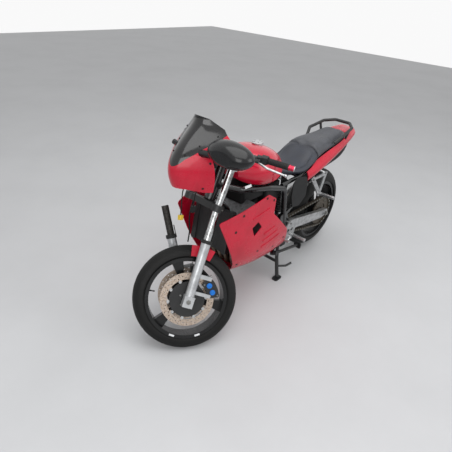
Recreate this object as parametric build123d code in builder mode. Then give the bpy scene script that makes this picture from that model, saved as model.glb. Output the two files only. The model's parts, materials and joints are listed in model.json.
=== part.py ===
"""Faired road motorcycle with a wrecked front end, standing on its centre stand.

Millimetres, +X forward, +Y to the rider's left, +Z up, floor at Z = 0.
Stations are measured forward from the rear axle and are moved into the part's own frame by at().
"""
import os
from math import cos, pi, radians, sin, sqrt

from build123d import *

os.makedirs("parts", exist_ok=True)

# ---------------------------------------------------------------- driving dimensions
rear_axle_x = -649.776         # rear axle in the part's own frame
rear_axle_z = 330.0           # the rear wheel hangs clear of the floor on the stand
rake = 24.0                   # steering head angle from the vertical
axis_floor_x = 1503.0         # where the steering axis meets the floor, ahead of the rear axle
fork_spread = 103.0           # each fork leg from the middle
fork_offset = 38.7            # legs ahead of the steering axis
lower_yoke_z = 751.3          # middle of the lower yoke on the steering axis
yoke_spacing = 232.0          # middle of the lower yoke to middle of the upper one
wheel_turn = 38.0             # the wheel and sliders are twisted to the right in the yokes
bend_side = 8.0               # bend of the left leg outwards at the lower yoke
bend_forward = 6.0            # and forwards
right_swing = 29.0            # the torn right leg has swung forward about the axle
stanchion_r = 20.5
slider_r = 26.0
collar_height = 345.0         # top of the slider above the axle, along the leg
running_gap = 0.05            # radial clearance of shafts and pins
seat_gap = 0.3                # between pieces of different bodies that nearly touch

front_tyre_r = 293.0
front_tyre_w = 110.0
rear_tyre_r = 312.0
rear_tyre_w = 160.0
bead_r = 218.0                # rim radius at the tyre bead
rim_wall = 9.0
flange_h = 11.0                # rim flange above the bead
front_rim_w = 92.0
rear_rim_w = 130.0
axle_r = 7.5
rear_axle_r = 8.5
disc_r = 149.0
disc_thick = 5.0
disc_y = 62.0                 # inner face of the front discs from the wheel's middle
drill_r = 3.2
drill_count = 18              # holes in each of a disc's three rows

main_tube_r = 19.0
rail_tube_r = 14.0
skin = 4.0                    # wall of the body panels


# ---------------------------------------------------------------- helpers
def at(x, y, z):
    """A point x forward of the rear axle, y to the left, z above the floor."""
    return Vector(rear_axle_x + x, y, z)


def station(x):
    """A plane across the machine; its own x runs to the left and its y up."""
    return Plane(origin=at(x, 0, 0), x_dir=(0, 1, 0), z_dir=(1, 0, 0))


def side(y):
    """A plane along the machine; its own x runs forward from the rear axle and its y up."""
    return Plane(origin=at(0, y, 0), x_dir=(1, 0, 0), z_dir=(0, -1, 0))


def level(z):
    """A level plane; its own x runs forward from the rear axle and its y to the left."""
    return Plane(origin=at(0, 0, z), x_dir=(1, 0, 0), z_dir=(0, 0, 1))


def tube(points, radius, bend):
    """A round bar along straight runs with filleted corners."""
    with BuildPart() as piece:
        with BuildLine() as path:
            FilletPolyline(*points, radius=bend)
        with BuildSketch(Plane(origin=path.line @ 0, z_dir=path.line % 0)):
            Circle(radius)
        sweep(path=path.line, transition=Transition.ROUND)
    return piece.part


def rod(start, end, radius):
    """A straight round bar between two points."""
    with BuildPart() as piece:
        with BuildSketch(Plane(origin=start, z_dir=end - start)):
            Circle(radius)
        extrude(amount=(end - start).length)
    return piece.part


def side_plate(y, thickness, outline, corner):
    """A flat plate with rounded corners, seen from the side."""
    with BuildPart() as piece:
        with BuildSketch(side(y)) as face:
            Polygon(*outline, align=None)
            fillet(face.vertices(), corner)
        extrude(amount=thickness / 2, both=True)
    return piece.part


def ring(plane, outer, inner, low, high):
    """A ring about the plane's normal between two heights; inner may be zero."""
    with BuildPart() as piece:
        with BuildSketch(plane.offset(low)):
            Circle(outer)
            if inner > 0:
                Circle(inner, mode=Mode.SUBTRACT)
        extrude(amount=high - low)
    return piece.part


def profile_plane(plane):
    """A plane holding the plane's normal, for profiles that are revolved about it."""
    return Plane(origin=plane.origin, x_dir=plane.x_dir, z_dir=-plane.y_dir)


def lathe(plane, outline):
    """A solid turned about the plane's normal from (radius, height) points."""
    with BuildPart() as piece:
        with BuildSketch(profile_plane(plane)):
            Polygon(*outline, align=None)
        revolve(axis=Axis(plane.origin, plane.z_dir))
    return piece.part


# ---------------------------------------------------------------- steering and fork directions
steer_up = Vector(-sin(radians(rake)), 0, cos(radians(rake)))
steer_foot = at(axis_floor_x - lower_yoke_z * sin(radians(rake)) / cos(radians(rake)), 0, lower_yoke_z)
steer = Plane(origin=steer_foot, x_dir=(0, 1, 0), z_dir=steer_up)   # own y points rearward
left_clamp = steer.from_local_coords((fork_spread, -fork_offset, 0))
right_clamp = steer.from_local_coords((-fork_spread, -fork_offset, 0))
bend_point = left_clamp - steer_up * 30.0


def turned(vector, axis, angle):
    """The vector turned about an axis through the origin, right-handed, in degrees."""
    return vector.rotate(Axis((0, 0, 0), axis), angle)


leg_up = turned(turned(steer_up, (1, 0, 0), bend_side), (0, 1, 0), -bend_forward)
axle_left = turned(turned(turned(Vector(0, 1, 0), (1, 0, 0), bend_side), (0, 1, 0), -bend_forward),
                   leg_up, -wheel_turn)
crown_r = front_tyre_r - front_tyre_w / 2 + 1.0          # centre ring of the tyre's section
tyre_tilt = sqrt(1 - axle_left.Z ** 2)
wheel_z = crown_r * tyre_tilt + (front_tyre_r - crown_r)  # the leaning tyre just meets the floor
left_foot_z = wheel_z + fork_spread * axle_left.Z
leg_length = (bend_point.Z - left_foot_z) / leg_up.Z
left_foot = bend_point - leg_up * leg_length
wheel_centre = left_foot - axle_left * fork_spread
right_foot = left_foot - axle_left * (2 * fork_spread)
right_up = turned(leg_up, axle_left, right_swing)
wheel = Plane(origin=wheel_centre, x_dir=leg_up, z_dir=axle_left)
rear = Plane(origin=at(0, 0, rear_axle_z), x_dir=(0, 0, 1), z_dir=(0, 1, 0))
left_leg = Plane(origin=left_foot, x_dir=axle_left, z_dir=leg_up)
right_leg = Plane(origin=right_foot, x_dir=axle_left, z_dir=right_up)


# ---------------------------------------------------------------- wheels
def tyre_part(plane, outer_r, width, bead_w):
    """A tyre whose section is round over the tread and straight down to the beads."""
    round_r = width / 2 - 1
    with BuildPart() as piece:
        with BuildSketch(profile_plane(plane)):
            with BuildLine():
                tread = CenterArc((outer_r - round_r, 0), round_r, -90, 180)
                Polyline(tread @ 0, (bead_r + flange_h, -bead_w / 2), (bead_r, -bead_w / 2), (bead_r, bead_w / 2),
                         (bead_r + flange_h, bead_w / 2), tread @ 1)
            make_face()
        revolve(axis=Axis(plane.origin, plane.z_dir))
    return piece.part


def rim_part(plane, bead_w, hub_r, hub_half, bore_r, spoke_turn):
    flange = bead_w / 2 + 5
    inner = bead_r - rim_wall
    with BuildPart() as piece:
        add(lathe(plane, [(inner, -flange), (bead_r + flange_h, -flange), (bead_r + flange_h, -bead_w / 2),
                          (bead_r, -bead_w / 2), (bead_r, bead_w / 2), (bead_r + flange_h, bead_w / 2),
                          (bead_r + flange_h, flange), (inner, flange)]))
        add(ring(plane, hub_r, 0, -hub_half, hub_half))
        with BuildSketch(plane):
            with PolarLocations(0, 3, start_angle=spoke_turn):
                Polygon((hub_r - 8, -30), (inner * 0.62, -17), (inner + 3, -34), (inner + 3, 34),
                        (inner * 0.62, 17), (hub_r - 8, 30), align=None)
        extrude(amount=19, both=True)
        with BuildSketch(plane):
            Circle(bore_r)
        extrude(amount=hub_half + 1, both=True, mode=Mode.SUBTRACT)
    return piece.part


front_hub_half = disc_y
with BuildPart() as front_tyre:
    add(tyre_part(wheel, front_tyre_r, front_tyre_w, front_rim_w))
with BuildPart() as front_rim:
    add(rim_part(wheel, front_rim_w, 42, front_hub_half, axle_r + running_gap, 30))

rear_hub_half = 66.0
with BuildPart() as rear_tyre:
    add(tyre_part(rear, rear_tyre_r, rear_tyre_w, rear_rim_w))
with BuildPart() as rear_rim:
    add(rim_part(rear, rear_rim_w, 55, rear_hub_half, rear_axle_r + running_gap, 10))


def disc_part(plane, low, outer, inner, carrier_r, bore):
    """A drilled brake disc with its carrier and bobbins; low is the face nearer the wheel."""
    with BuildPart() as piece:
        with BuildSketch(plane.offset(low)):
            Circle(outer)
            Circle(inner, mode=Mode.SUBTRACT)
            for row in range(3):
                with PolarLocations(inner + 9 + row * (outer - inner - 18) / 2, drill_count, start_angle=row * 8):
                    Circle(drill_r, mode=Mode.SUBTRACT)
        extrude(amount=disc_thick)
        add(ring(plane, carrier_r, bore, low, low + disc_thick + 1))
        with BuildSketch(plane.offset(low)):
            with PolarLocations((inner + carrier_r) / 2, 10):
                Circle(9)
        extrude(amount=disc_thick + 1)
    return piece.part


with BuildPart() as front_disc_left:
    add(disc_part(wheel, disc_y, disc_r, 112, 98, 30))
with BuildPart() as front_disc_right:
    add(disc_part(wheel, -disc_y - disc_thick - 1, disc_r, 112, 98, 30))

# ---------------------------------------------------------------- front axle and fork legs
with BuildPart() as front_axle:
    add(ring(wheel, axle_r, 0, -fork_spread - 24, fork_spread + 24))
    add(ring(wheel, 14, 0, front_hub_half + 0.5, fork_spread - slider_r))
    add(ring(wheel, 14, 0, -fork_spread + slider_r, -front_hub_half - 0.5))


def slider_part(leg, disc_side, top):
    """Fork slider with its squared foot, caliper lugs, dust collar and the collar's tongue."""
    with BuildPart() as piece:
        add(ring(leg, slider_r, 0, 0, top - 16))
        add(ring(leg, slider_r + 5, 0, top - 18, top))
        with BuildSketch(leg.offset(-32)):
            Rectangle(2 * slider_r, 2 * slider_r + 4)
        extrude(amount=62)
        with BuildSketch(leg.offset(top - 10)):
            with Locations((0, slider_r + 1)):
                Rectangle(18, 4)
        extrude(amount=62)
        lug_plane = Plane(origin=leg.origin, x_dir=leg.z_dir, z_dir=leg.x_dir)
        with BuildSketch(lug_plane.offset(-disc_side * (fork_spread - caliper_outer))):
            with Locations((52, -59)):
                Rectangle(18, 106)
            with Locations((146, -49)):
                Rectangle(22, 86)
        extrude(amount=disc_side * 12)
        with BuildSketch(leg.offset(60)):
            Circle(stanchion_r + running_gap)
        extrude(amount=top, mode=Mode.SUBTRACT)
        with BuildSketch(lug_plane):
            Circle(axle_r)
        extrude(amount=60, both=True, mode=Mode.SUBTRACT)
    return piece.part


caliper_inner = disc_y + disc_thick / 2 - 25       # from the wheel's middle
caliper_outer = disc_y + disc_thick / 2 + 25
with BuildPart() as slider_left:
    add(slider_part(left_leg, 1, collar_height))
with BuildPart() as slider_right:
    add(slider_part(right_leg, -1, collar_height))

top_of_leg = yoke_spacing + 22.0
with BuildPart() as stanchion_left:
    add(tube([left_foot + leg_up * 90, bend_point, left_clamp + steer_up * top_of_leg], stanchion_r, 160))
    with BuildSketch(Plane(origin=left_clamp + steer_up * top_of_leg, z_dir=steer_up)):
        RegularPolygon(15, 6)
    extrude(amount=8)
stub_top = 515.0
with BuildPart() as stanchion_right:
    add(ring(right_leg, stanchion_r, 0, 90, stub_top))
    with BuildSketch(right_leg.offset(stub_top - 150)):
        Circle(stanchion_r - 3)
    extrude(amount=200, mode=Mode.SUBTRACT)


def caliper_part(plane, disc_side):
    """Four-piston caliper astride the disc, behind the leg whose direction is the plane's own x."""
    low = caliper_inner if disc_side > 0 else -caliper_outer
    with BuildPart() as piece:
        with BuildSketch(plane.offset(low)):
            with BuildLine():
                l1 = CenterArc((0, 0), 176, -70, 44)
                l2 = CenterArc((0, 0), 112, -70, 44)
                Line(l1 @ 0, l2 @ 0)
                Line(l1 @ 1, l2 @ 1)
            make_face()
        extrude(amount=50)
        fillet(piece.edges().filter_by(Axis(plane.origin, plane.z_dir)), 10)
        add(ring(plane, disc_r + 5, 0, disc_side * (disc_y - 5), disc_side * (disc_y + disc_thick + 5)),
            mode=Mode.SUBTRACT)
        cap_plane = plane.offset(caliper_outer) if disc_side > 0 else plane.offset(-caliper_outer - 7)
        with BuildSketch(cap_plane):
            with PolarLocations(142, 2, start_angle=-57, angular_range=17, endpoint=True):
                Circle(15)
        extrude(amount=7)
    return piece.part


right_wheel = Plane(origin=wheel_centre, x_dir=right_up, z_dir=axle_left)
with BuildPart() as caliper_left:
    add(caliper_part(wheel, 1))
with BuildPart() as caliper_right:
    add(caliper_part(right_wheel, -1))

# ---------------------------------------------------------------- yokes and handlebar
clamp_r = stanchion_r + 13.0
headstock_low = 22.0
headstock_high = yoke_spacing - 16.0
stem_r = 13.0


def yoke_outline(plane):
    """The outline of either yoke: stem boss, two clamps and the webs between them."""
    with BuildSketch(plane) as outline:
        with Locations((fork_spread, -fork_offset), (-fork_spread, -fork_offset)):
            Circle(clamp_r)
        Circle(30)
        Polygon((-fork_spread, -fork_offset - 20), (fork_spread, -fork_offset - 20),
                (fork_spread, -fork_offset + 10), (22, 14), (-22, 14), (-fork_spread, -fork_offset + 10), align=None)
        with Locations((fork_spread, -fork_offset), (-fork_spread, -fork_offset)):
            Circle(stanchion_r + running_gap, mode=Mode.SUBTRACT)
    return outline.sketch


bar_r = 11.1
bar_centre = steer.from_local_coords((0, 8, yoke_spacing + 46))
bar_half = [bar_centre + Vector(0, 0, 0), bar_centre + Vector(0, 78, 0), bar_centre + Vector(-22, 150, 34),
            bar_centre + Vector(-58, 232, 26), bar_centre + Vector(-108, 352, 12)]
bar_points = [Vector(p.X, -p.Y, p.Z) for p in reversed(bar_half[1:])] + bar_half[1:]
bar_tube = tube(bar_points, bar_r, 30)

with BuildPart() as lower_yoke:
    extrude(yoke_outline(steer.offset(-17)), amount=36)
    add(ring(steer, stem_r, 0, 10, yoke_spacing + 22))
with BuildPart() as upper_yoke:
    extrude(yoke_outline(steer.offset(yoke_spacing - 14)), amount=26)
    with BuildSketch(steer.offset(yoke_spacing - 20)):
        Circle(stem_r)
    extrude(amount=60, mode=Mode.SUBTRACT)
    with BuildSketch(steer.offset(yoke_spacing + 4)):
        with Locations((46, 4), (-46, 4)):
            Rectangle(24, 36)
    extrude(amount=42)
    add(bar_tube, mode=Mode.SUBTRACT)
with BuildPart() as handlebar:
    add(bar_tube)
    for sign in (1, -1):
        inner = Vector(bar_half[3].X, sign * bar_half[3].Y, bar_half[3].Z)
        outer = Vector(bar_half[4].X, sign * bar_half[4].Y, bar_half[4].Z)
        along = (outer - inner).normalized()
        add(rod(inner + along * 8, outer - along * 2, 16.5))
        add(rod(outer - along * 2, outer + along * 22, 14))


def controls_part(sign):
    """Switch block, lever perch and lever with its ball end on one side of the handlebar."""
    inner = Vector(bar_half[3].X, sign * bar_half[3].Y, bar_half[3].Z)
    outer = Vector(bar_half[4].X, sign * bar_half[4].Y, bar_half[4].Z)
    along = (outer - inner).normalized()
    start = inner - along * 42
    square = Plane(origin=start, x_dir=Vector(0, 0, 1).cross(along), z_dir=along)
    with BuildPart() as piece:
        with BuildSketch(square.offset(14)):
            RectangleRounded(40, 42, 8)
        extrude(amount=34)
        with BuildSketch(square.offset(-10)):
            RectangleRounded(34, 28, 6)
            with Locations((sign * -26, -4)):
                RectangleRounded(44, 16, 6)
        extrude(amount=24)
        add(tube([start + square.x_dir * (sign * -40) + along * 2 - Vector(0, 0, 4),
                  start + square.x_dir * (sign * -62) + along * 60 - Vector(0, 0, 14),
                  outer + square.x_dir * (sign * -58) - along * 10 - Vector(0, 0, 26)], 6, 25))
        with Locations(outer + square.x_dir * (sign * -58) - along * 10 - Vector(0, 0, 26)):
            Sphere(9)
        add(bar_tube, mode=Mode.SUBTRACT)
    return piece.part


with BuildPart() as controls_left:
    add(controls_part(1))
with BuildPart() as controls_right:
    add(controls_part(-1))
    with Locations(Location(bar_centre + Vector(-8, -190, 58))):
        Cylinder(24, 34)
    with Locations(Location(bar_centre + Vector(-8, -190, 38))):
        Box(20, 16, 40)
    add(bar_tube, mode=Mode.SUBTRACT)

with BuildPart() as mudguard_remnant:
    with BuildSketch(wheel.offset(fork_spread - slider_r - 16)):
        with BuildLine():
            m1 = CenterArc((0, 0), front_tyre_r + 9, -14, 26)
            m2 = CenterArc((0, 0), front_tyre_r - 52, -14, 26)
            Line(m1 @ 0, m2 @ 0)
            Line(m1 @ 1, m2 @ 1)
        make_face()
    extrude(amount=4)
    for reach in (252, 288):
        add(rod(wheel.from_local_coords((reach, 0, fork_spread - slider_r - 14)),
                wheel.from_local_coords((reach, 0, fork_spread - slider_r + 4)), 7))
    add(slider_left.part, mode=Mode.SUBTRACT)

# ---------------------------------------------------------------- frame
pivot_x = 555.0
pivot_z = 400.0
pivot_r = 10.0
head_low = steer.from_local_coords((0, 0, headstock_low))
head_high = steer.from_local_coords((0, 0, headstock_high))
head_plane = Plane(origin=head_low, x_dir=(0, 1, 0), z_dir=steer_up)
rail_y = 128.0
swing_half = 98.0             # half width of the swingarm at its pivot
stand_x = 540.0
stand_z = 286.0
stand_pin_r = 8.0
side_pin_r = 6.0
side_pivot = at(640, 140, 246)
side_axis = Vector(0.25, -1, -0.224).normalized()          # the side stand folds about this line
side_hinge = Plane(origin=side_pivot, x_dir=(1, 0, 0.25), z_dir=-side_axis)


def mirrored(points, sign):
    return [Vector(p.X, sign * p.Y, p.Z) for p in points]


main_rail = [at(1128, 18, 852), at(1020, 105, 820), at(790, rail_y, 772), at(610, rail_y, 716), at(565, rail_y, 440),
             at(590, rail_y, 318)]
down_tube = [at(1142, 14, 798), at(1068, 64, 700), at(1058, 64, 560), at(975, 64, 520)]
seat_rail = [at(640, rail_y - 4, 742), at(430, 112, 742), at(150, 104, 800), at(-210, 78, 852)]
strut = [at(575, rail_y, 500), at(430, 118, 560), at(120, 104, 790)]
main_rails = [tube(mirrored(main_rail, s), main_tube_r, 55) for s in (1, -1)]
down_tubes = [tube(mirrored(down_tube, s), 12, 34) for s in (1, -1)]
seat_rails = [tube(mirrored(seat_rail, s), rail_tube_r, 60) for s in (1, -1)]
struts = [tube(mirrored(strut, s), 11, 60) for s in (1, -1)]
cross_tubes = [rod(at(x, -y, z), at(x, y, z), r) for x, y, z, r in
               ((430, 112, 742, 11), (-60, 90, 832, 11), (590, rail_y, 318, 16), (604, rail_y, 470, 12))]
with BuildPart() as frame:
    add(ring(head_plane, 32, stem_r + running_gap, 0, headstock_high - headstock_low))
    for piece in main_rails + down_tubes + seat_rails + struts + cross_tubes:
        add(piece)
    for sign in (1, -1):
        add(side_plate(sign * rail_y, 24, [(512, 262), (566, 262), (622, 300), (622, 520), (560, 540), (520, 470)], 14))
        add(rod(at(pivot_x, sign * swing_half, pivot_z), at(pivot_x, sign * rail_y, pivot_z), 22))
    add(ring(side_hinge, 19, 0, -20, 0))
    add(rod(side_pivot + side_axis * 16, at(598, rail_y - 6, 296), 10))
    with BuildSketch(side(0)):
        with Locations((pivot_x, pivot_z)):
            Circle(pivot_r)
        with Locations((stand_x, stand_z)):
            Circle(stand_pin_r + running_gap)
    extrude(amount=200, both=True, mode=Mode.SUBTRACT)
    with BuildSketch(side_hinge):
        Circle(side_pin_r + running_gap)
    extrude(amount=30, both=True, mode=Mode.SUBTRACT)
    with BuildSketch(head_plane):
        Circle(stem_r + running_gap)
    extrude(amount=headstock_high - headstock_low, mode=Mode.SUBTRACT)

# ---------------------------------------------------------------- chain line
sprocket_teeth = 47
chain_pitch = 15.875
sprocket_pitch_r = chain_pitch / 2 / sin(pi / sprocket_teeth)
front_teeth = 16
front_pitch_r = chain_pitch / 2 / sin(pi / front_teeth)
chain_y = 93.0
front_sprocket = (650.0, 400.0)
chain_half = 8.0
chain_inner = 8.5 + seat_gap   # the sprockets' rims lie this far inside the pitch line


def chain_loop(extra):
    """The band between the two sprockets' tangents, grown by extra about the pitch line."""
    with BuildSketch(side(chain_y)) as loop:
        with Locations((0, rear_axle_z)):
            Circle(sprocket_pitch_r + extra)
        with Locations(front_sprocket):
            Circle(front_pitch_r + extra)
        make_hull()
    return loop.sketch


# ---------------------------------------------------------------- engine
crank_half = 150.0
cover_y = crank_half + 6      # outer face of the crankcase covers
with BuildPart() as engine_crankcase:
    with BuildSketch(side(0)) as case_side:
        Polygon((625, 352), (690, 322), (925, 322), (962, 352), (966, 430), (925, 480), (800, 506), (640, 506), align=None)
        fillet(case_side.vertices(), 16)
    extrude(amount=crank_half - 42, both=True)
    for sign in (1, -1):
        with BuildSketch(side(0).offset(-sign * (crank_half - 42)) if sign > 0 else side(0).offset(crank_half - 42)):
            with Locations((905, 400)):
                Circle(74)
            with Locations((730, 400)):
                Circle(62 if sign > 0 else 84)
        extrude(amount=-48 if sign > 0 else 48)
    extrude(chain_loop(15), amount=chain_half + 6, both=True, mode=Mode.SUBTRACT)
    add(ring(Plane(origin=at(front_sprocket[0], 0, front_sprocket[1]), x_dir=(1, 0, 0), z_dir=(0, 1, 0)), front_pitch_r - chain_inner, 0, chain_y - 16, chain_y + 4))
cyl_plane = Plane(origin=at(842, 0, 478), x_dir=(cos(radians(35)), 0, -sin(radians(35))), z_dir=(sin(radians(35)), 0, cos(radians(35))))
with BuildPart() as cylinder_block:
    with BuildSketch(cyl_plane.offset(30)):
        RectangleRounded(130, 300, 14)
    extrude(amount=150)
    for k in range(7):
        with BuildSketch(cyl_plane.offset(42 + 14 * k)):
            RectangleRounded(150, 316, 12)
        extrude(amount=4)
    with BuildSketch(cyl_plane.offset(150)):
        RectangleRounded(166, 330, 18)
    extrude(amount=62)
    with BuildSketch(cyl_plane.offset(212)):
        RectangleRounded(148, 316, 26)
    extrude(amount=34)
    add(engine_crankcase.part, mode=Mode.SUBTRACT)
port_x = [-98.0, -31.0, 31.0, 98.0]
headers = []
for y in port_x:
    headers.append(tube([cyl_plane.from_local_coords((83, y, 180)), cyl_plane.from_local_coords((116, y, 180)),
                         at(1050, y, 440), at(986, y * 0.7, 282), at(840, y * 0.3 - 10, 266), at(690, y * 0.2 - 20, 264)], 15, 30))
silencer_y = 218.0
link_route = [at(706, -20, 264), at(656, -62, 264), at(585, -200, 262), at(480, -silencer_y, 262), at(230, -silencer_y, 298)]
link_pipe = tube(link_route, 24, 45)
with BuildPart() as exhaust:
    for pipe in headers:
        add(pipe)
    add(link_pipe)
    silencer_plane = Plane(origin=at(250, -silencer_y, 292), x_dir=(0, 1, 0), z_dir=(-cos(radians(16)), 0, sin(radians(16))))
    with BuildSketch(silencer_plane):
        Ellipse(50, 60)
    extrude(amount=400)
    with BuildSketch(silencer_plane.offset(400)):
        Circle(24)
    extrude(amount=28)
with BuildPart() as radiator:
    rad = Plane(origin=at(1132, 0, 588), x_dir=(0, 1, 0), z_dir=(-cos(radians(10)), 0, -sin(radians(10))))
    with BuildSketch(rad):
        Rectangle(240, 250)
    extrude(amount=26)
    for sign in (1, -1):
        with BuildSketch(rad.offset(-4)):
            with Locations((sign * 123, 0)):
                RectangleRounded(34, 262, 10)
        extrude(amount=34)
        for z in (600, 655):
            add(rod(at(1114, sign * 64, z), at(1078, sign * 64, z), 7))
    add(frame.part, mode=Mode.SUBTRACT)
with BuildPart() as airbox:
    with BuildSketch(level(640)) as box_face:
        with Locations((690, 0)):
            RectangleRounded(150, 200, 24)
    extrude(amount=120)
    with BuildSketch(level(700)):
        with Locations((850, 0)):
            RectangleRounded(230, 156, 24)
    extrude(amount=94)
    for y in port_x:
        add(rod(at(740, y * 0.8, 655), at(838, y, 606), 24))
    add(cylinder_block.part, mode=Mode.SUBTRACT)

# ---------------------------------------------------------------- tank and seat


def body_section(plane, half, low, high, shoulder=0.86):
    """A rounded section, flat below: half width, lower and upper height."""
    tall = high - low
    with BuildSketch(plane) as cut:
        with BuildLine():
            Line((-half * 0.86, low), (half * 0.86, low))
            Spline((half * 0.86, low), (half, low + tall * 0.42), (half * 0.70, low + tall * shoulder), (0, high),
                   (-half * 0.70, low + tall * shoulder), (-half, low + tall * 0.42), (-half * 0.86, low))
        make_face()
    return cut.sketch


def lofted(stations, shoulder=0.86):
    """A body lofted through (x, half width, low, high) stations."""
    cuts = [body_section(station(x), half, low, high, shoulder) for x, half, low, high in stations]
    with BuildPart() as piece:
        loft(cuts)
    return piece.part


tank_stations = [(1014, 70, 872, 946), (966, 122, 846, 988), (900, 158, 828, 1012), (780, 166, 812, 1006),
                 (680, 132, 800, 968), (598, 84, 792, 880)]
cap_x = 772.0
cap_top = 1012.0
cap_r = 34.0
knee_r = 230.0                # the knee recesses are shallow dishes
with BuildPart() as fuel_tank:
    add(lofted(tank_stations))
    add(frame.part, mode=Mode.SUBTRACT)
    with BuildSketch(level(cap_top - 5 - seat_gap)):
        with Locations((cap_x, 0)):
            Circle(cap_r + 3)
    extrude(amount=60, mode=Mode.SUBTRACT)
    for sign in (1, -1):
        with Locations(Location(at(672, sign * (knee_r + 112), 872))):
            Sphere(knee_r, mode=Mode.SUBTRACT)
with BuildPart() as filler_cap:
    with BuildSketch(level(cap_top - 5)):
        with Locations((cap_x, 0)):
            Circle(cap_r)
    extrude(amount=14)
    fillet(filler_cap.faces().sort_by(Axis.Z)[-1].edges(), 4)
    add(rod(at(cap_x + cap_r + 2, -11, cap_top + 5), at(cap_x + cap_r + 2, 11, cap_top + 5), 4))
rider_stations = [(612, 62, 800, 842), (540, 100, 772, 826), (460, 138, 762, 812), (370, 150, 768, 826), (300, 146, 792, 876),
                  (262, 140, 806, 902)]
pillion_stations = [(261, 136, 808, 900), (180, 130, 822, 912), (40, 118, 838, 914), (-120, 104, 856, 922), (-196, 84, 868, 918)]
with BuildPart() as seat_rider:
    add(lofted(rider_stations, 0.93))
    add(fuel_tank.part, mode=Mode.SUBTRACT)
    add(frame.part, mode=Mode.SUBTRACT)
with BuildPart() as seat_pillion:
    add(lofted(pillion_stations, 0.93))

# tail cowl: an inverted channel under the seat, closed behind it
cowl_outer = [(380, 156, 690, 800), (200, 152, 724, 842), (0, 138, 774, 880), (-200, 112, 820, 908), (-352, 78, 848, 912)]
cowl_body = lofted(cowl_outer, 0.93)
with BuildPart() as tail_cowl:
    add(cowl_body)
    add(lofted([(x + (2 if x > 0 else 6), h - skin, l - 12, t - skin) for x, h, l, t in cowl_outer[:-1]]
               + [(-335, 74, 834, 904)], 0.93), mode=Mode.SUBTRACT)
    add(seat_rider.part, mode=Mode.SUBTRACT)
    add(seat_pillion.part, mode=Mode.SUBTRACT)

with BuildPart() as tail_lamp:
    with BuildSketch(station(-352.3)):
        with Locations((0, 880)):
            RectangleRounded(120, 44, 14)
    extrude(amount=-16)
grab_line = [at(30, 112, 885), at(-30, 136, 925), at(-190, 118, 952), at(-262, 60, 960), at(-262, -60, 960), at(-190, -118, 952),
             at(-30, -136, 925), at(30, -112, 885)]
with BuildPart() as grab_rail:
    add(tube(grab_line, 11, 26))
    for sign in (1, -1):
        add(rod(at(-150, sign * 121, 946), at(-150, sign * 98, 860), 9))
    add(seat_pillion.part, mode=Mode.SUBTRACT)
    add(cowl_body, mode=Mode.SUBTRACT)

panel_outline = [(372, 700), (372, 600), (440, 545), (520, 560), (548, 640), (548, 735), (500, 770), (400, 745)]


def side_panel_part(sign):
    with BuildPart() as piece:
        with BuildSketch(side(sign * 150)) as face:
            Polygon(*panel_outline, align=None)
            fillet(face.vertices(), 22)
        extrude(amount=3, both=True)
        add(tail_cowl.part, mode=Mode.SUBTRACT)
        add(seat_rider.part, mode=Mode.SUBTRACT)
        for rail in main_rails + seat_rails:
            add(rail, mode=Mode.SUBTRACT)
    return piece.part


with BuildPart() as side_panel_left:
    add(side_panel_part(1))
with BuildPart() as side_panel_right:
    add(side_panel_part(-1))

guard_outer = [(330, 88, 560, 716), (200, 88, 640, 756), (0, 88, 690, 812), (-200, 84, 732, 840), (-270, 72, 776, 848)]
with BuildPart() as rear_mudguard:
    add(lofted(guard_outer))
    add(lofted([(x + (2 if x > 0 else -2), h - skin, l - 20, t - skin) for x, h, l, t in guard_outer]), mode=Mode.SUBTRACT)
    for rail in seat_rails + struts + cross_tubes:
        add(rail, mode=Mode.SUBTRACT)

# ---------------------------------------------------------------- swingarm and rear wheel
arm_y = 120.0
arm_outline = [(498, 372), (498, 428), (440, 432), (60, 362), (-30, 352), (-40, 330), (-30, 306), (60, 300), (440, 356)]
with BuildPart() as swingarm:
    for sign in (1, -1):
        add(side_plate(sign * arm_y, 30, arm_outline, 10))
    add(rod(at(pivot_x, -swing_half, pivot_z), at(pivot_x, swing_half, pivot_z), 28))
    with BuildSketch(side(0)):
        with Locations((462, 398)):
            RectangleRounded(70, 56, 14)
    extrude(amount=arm_y, both=True)
    for sign in (1, -1):
        with BuildSketch(side(sign * 48)):
            with Locations((505, 400)):
                RectangleRounded(90, 48, 10)
        extrude(amount=26, both=True)
    add(rod(at(pivot_x, -rail_y - 14, pivot_z), at(pivot_x, rail_y + 14, pivot_z), pivot_r))
    add(ring(rear, rear_axle_r, 0, -arm_y - 34, arm_y + 34))
    for low, high in ((rear_hub_half + 0.5, arm_y - 15), (-arm_y + 15, -rear_hub_half - 0.5)):
        add(ring(rear, 15, 0, low, high))
    add(ring(rear, 16, 0, arm_y + 15, arm_y + 26))
    add(ring(rear, 16, 0, -arm_y - 26, -arm_y - 15))
with BuildPart() as shock:
    shock_low = at(455, 0, 452)
    shock_high = at(400, 0, 700)
    shock_up = (shock_high - shock_low).normalized()
    shock_plane = Plane(origin=shock_low, x_dir=(0, 1, 0), z_dir=shock_up)
    add(ring(shock_plane, 14, 0, -24, 200))
    add(ring(shock_plane, 24, 0, 140, 225))
    add(ring(shock_plane, 28, 0, 2, 140))
    for k in range(9):
        with BuildSketch(profile_plane(shock_plane)):
            with Locations((32, 8 + 16 * k)):
                RegularPolygon(6.5, 6)
        revolve(axis=Axis(shock_low, shock_up))
    add(ring(shock_plane, 36, 0, 138, 148))
    add(ring(shock_plane, 36, 0, -4, 4))
    add(swingarm.part, mode=Mode.SUBTRACT)
with BuildPart() as rear_disc:
    add(disc_part(rear, -rear_hub_half + 0 - disc_thick - 1, 122, 84, 72, 24))
with BuildPart() as rear_sprocket:
    add(ring(rear, sprocket_pitch_r - chain_inner, 60, chain_y - 3, chain_y + 3))
    add(ring(rear, 70, 24, rear_hub_half, chain_y - 3))
with BuildPart() as chain:
    extrude(chain_loop(8.5), amount=chain_half, both=True)
    extrude(chain_loop(-8.5), amount=chain_half + 1, both=True, mode=Mode.SUBTRACT)

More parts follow.
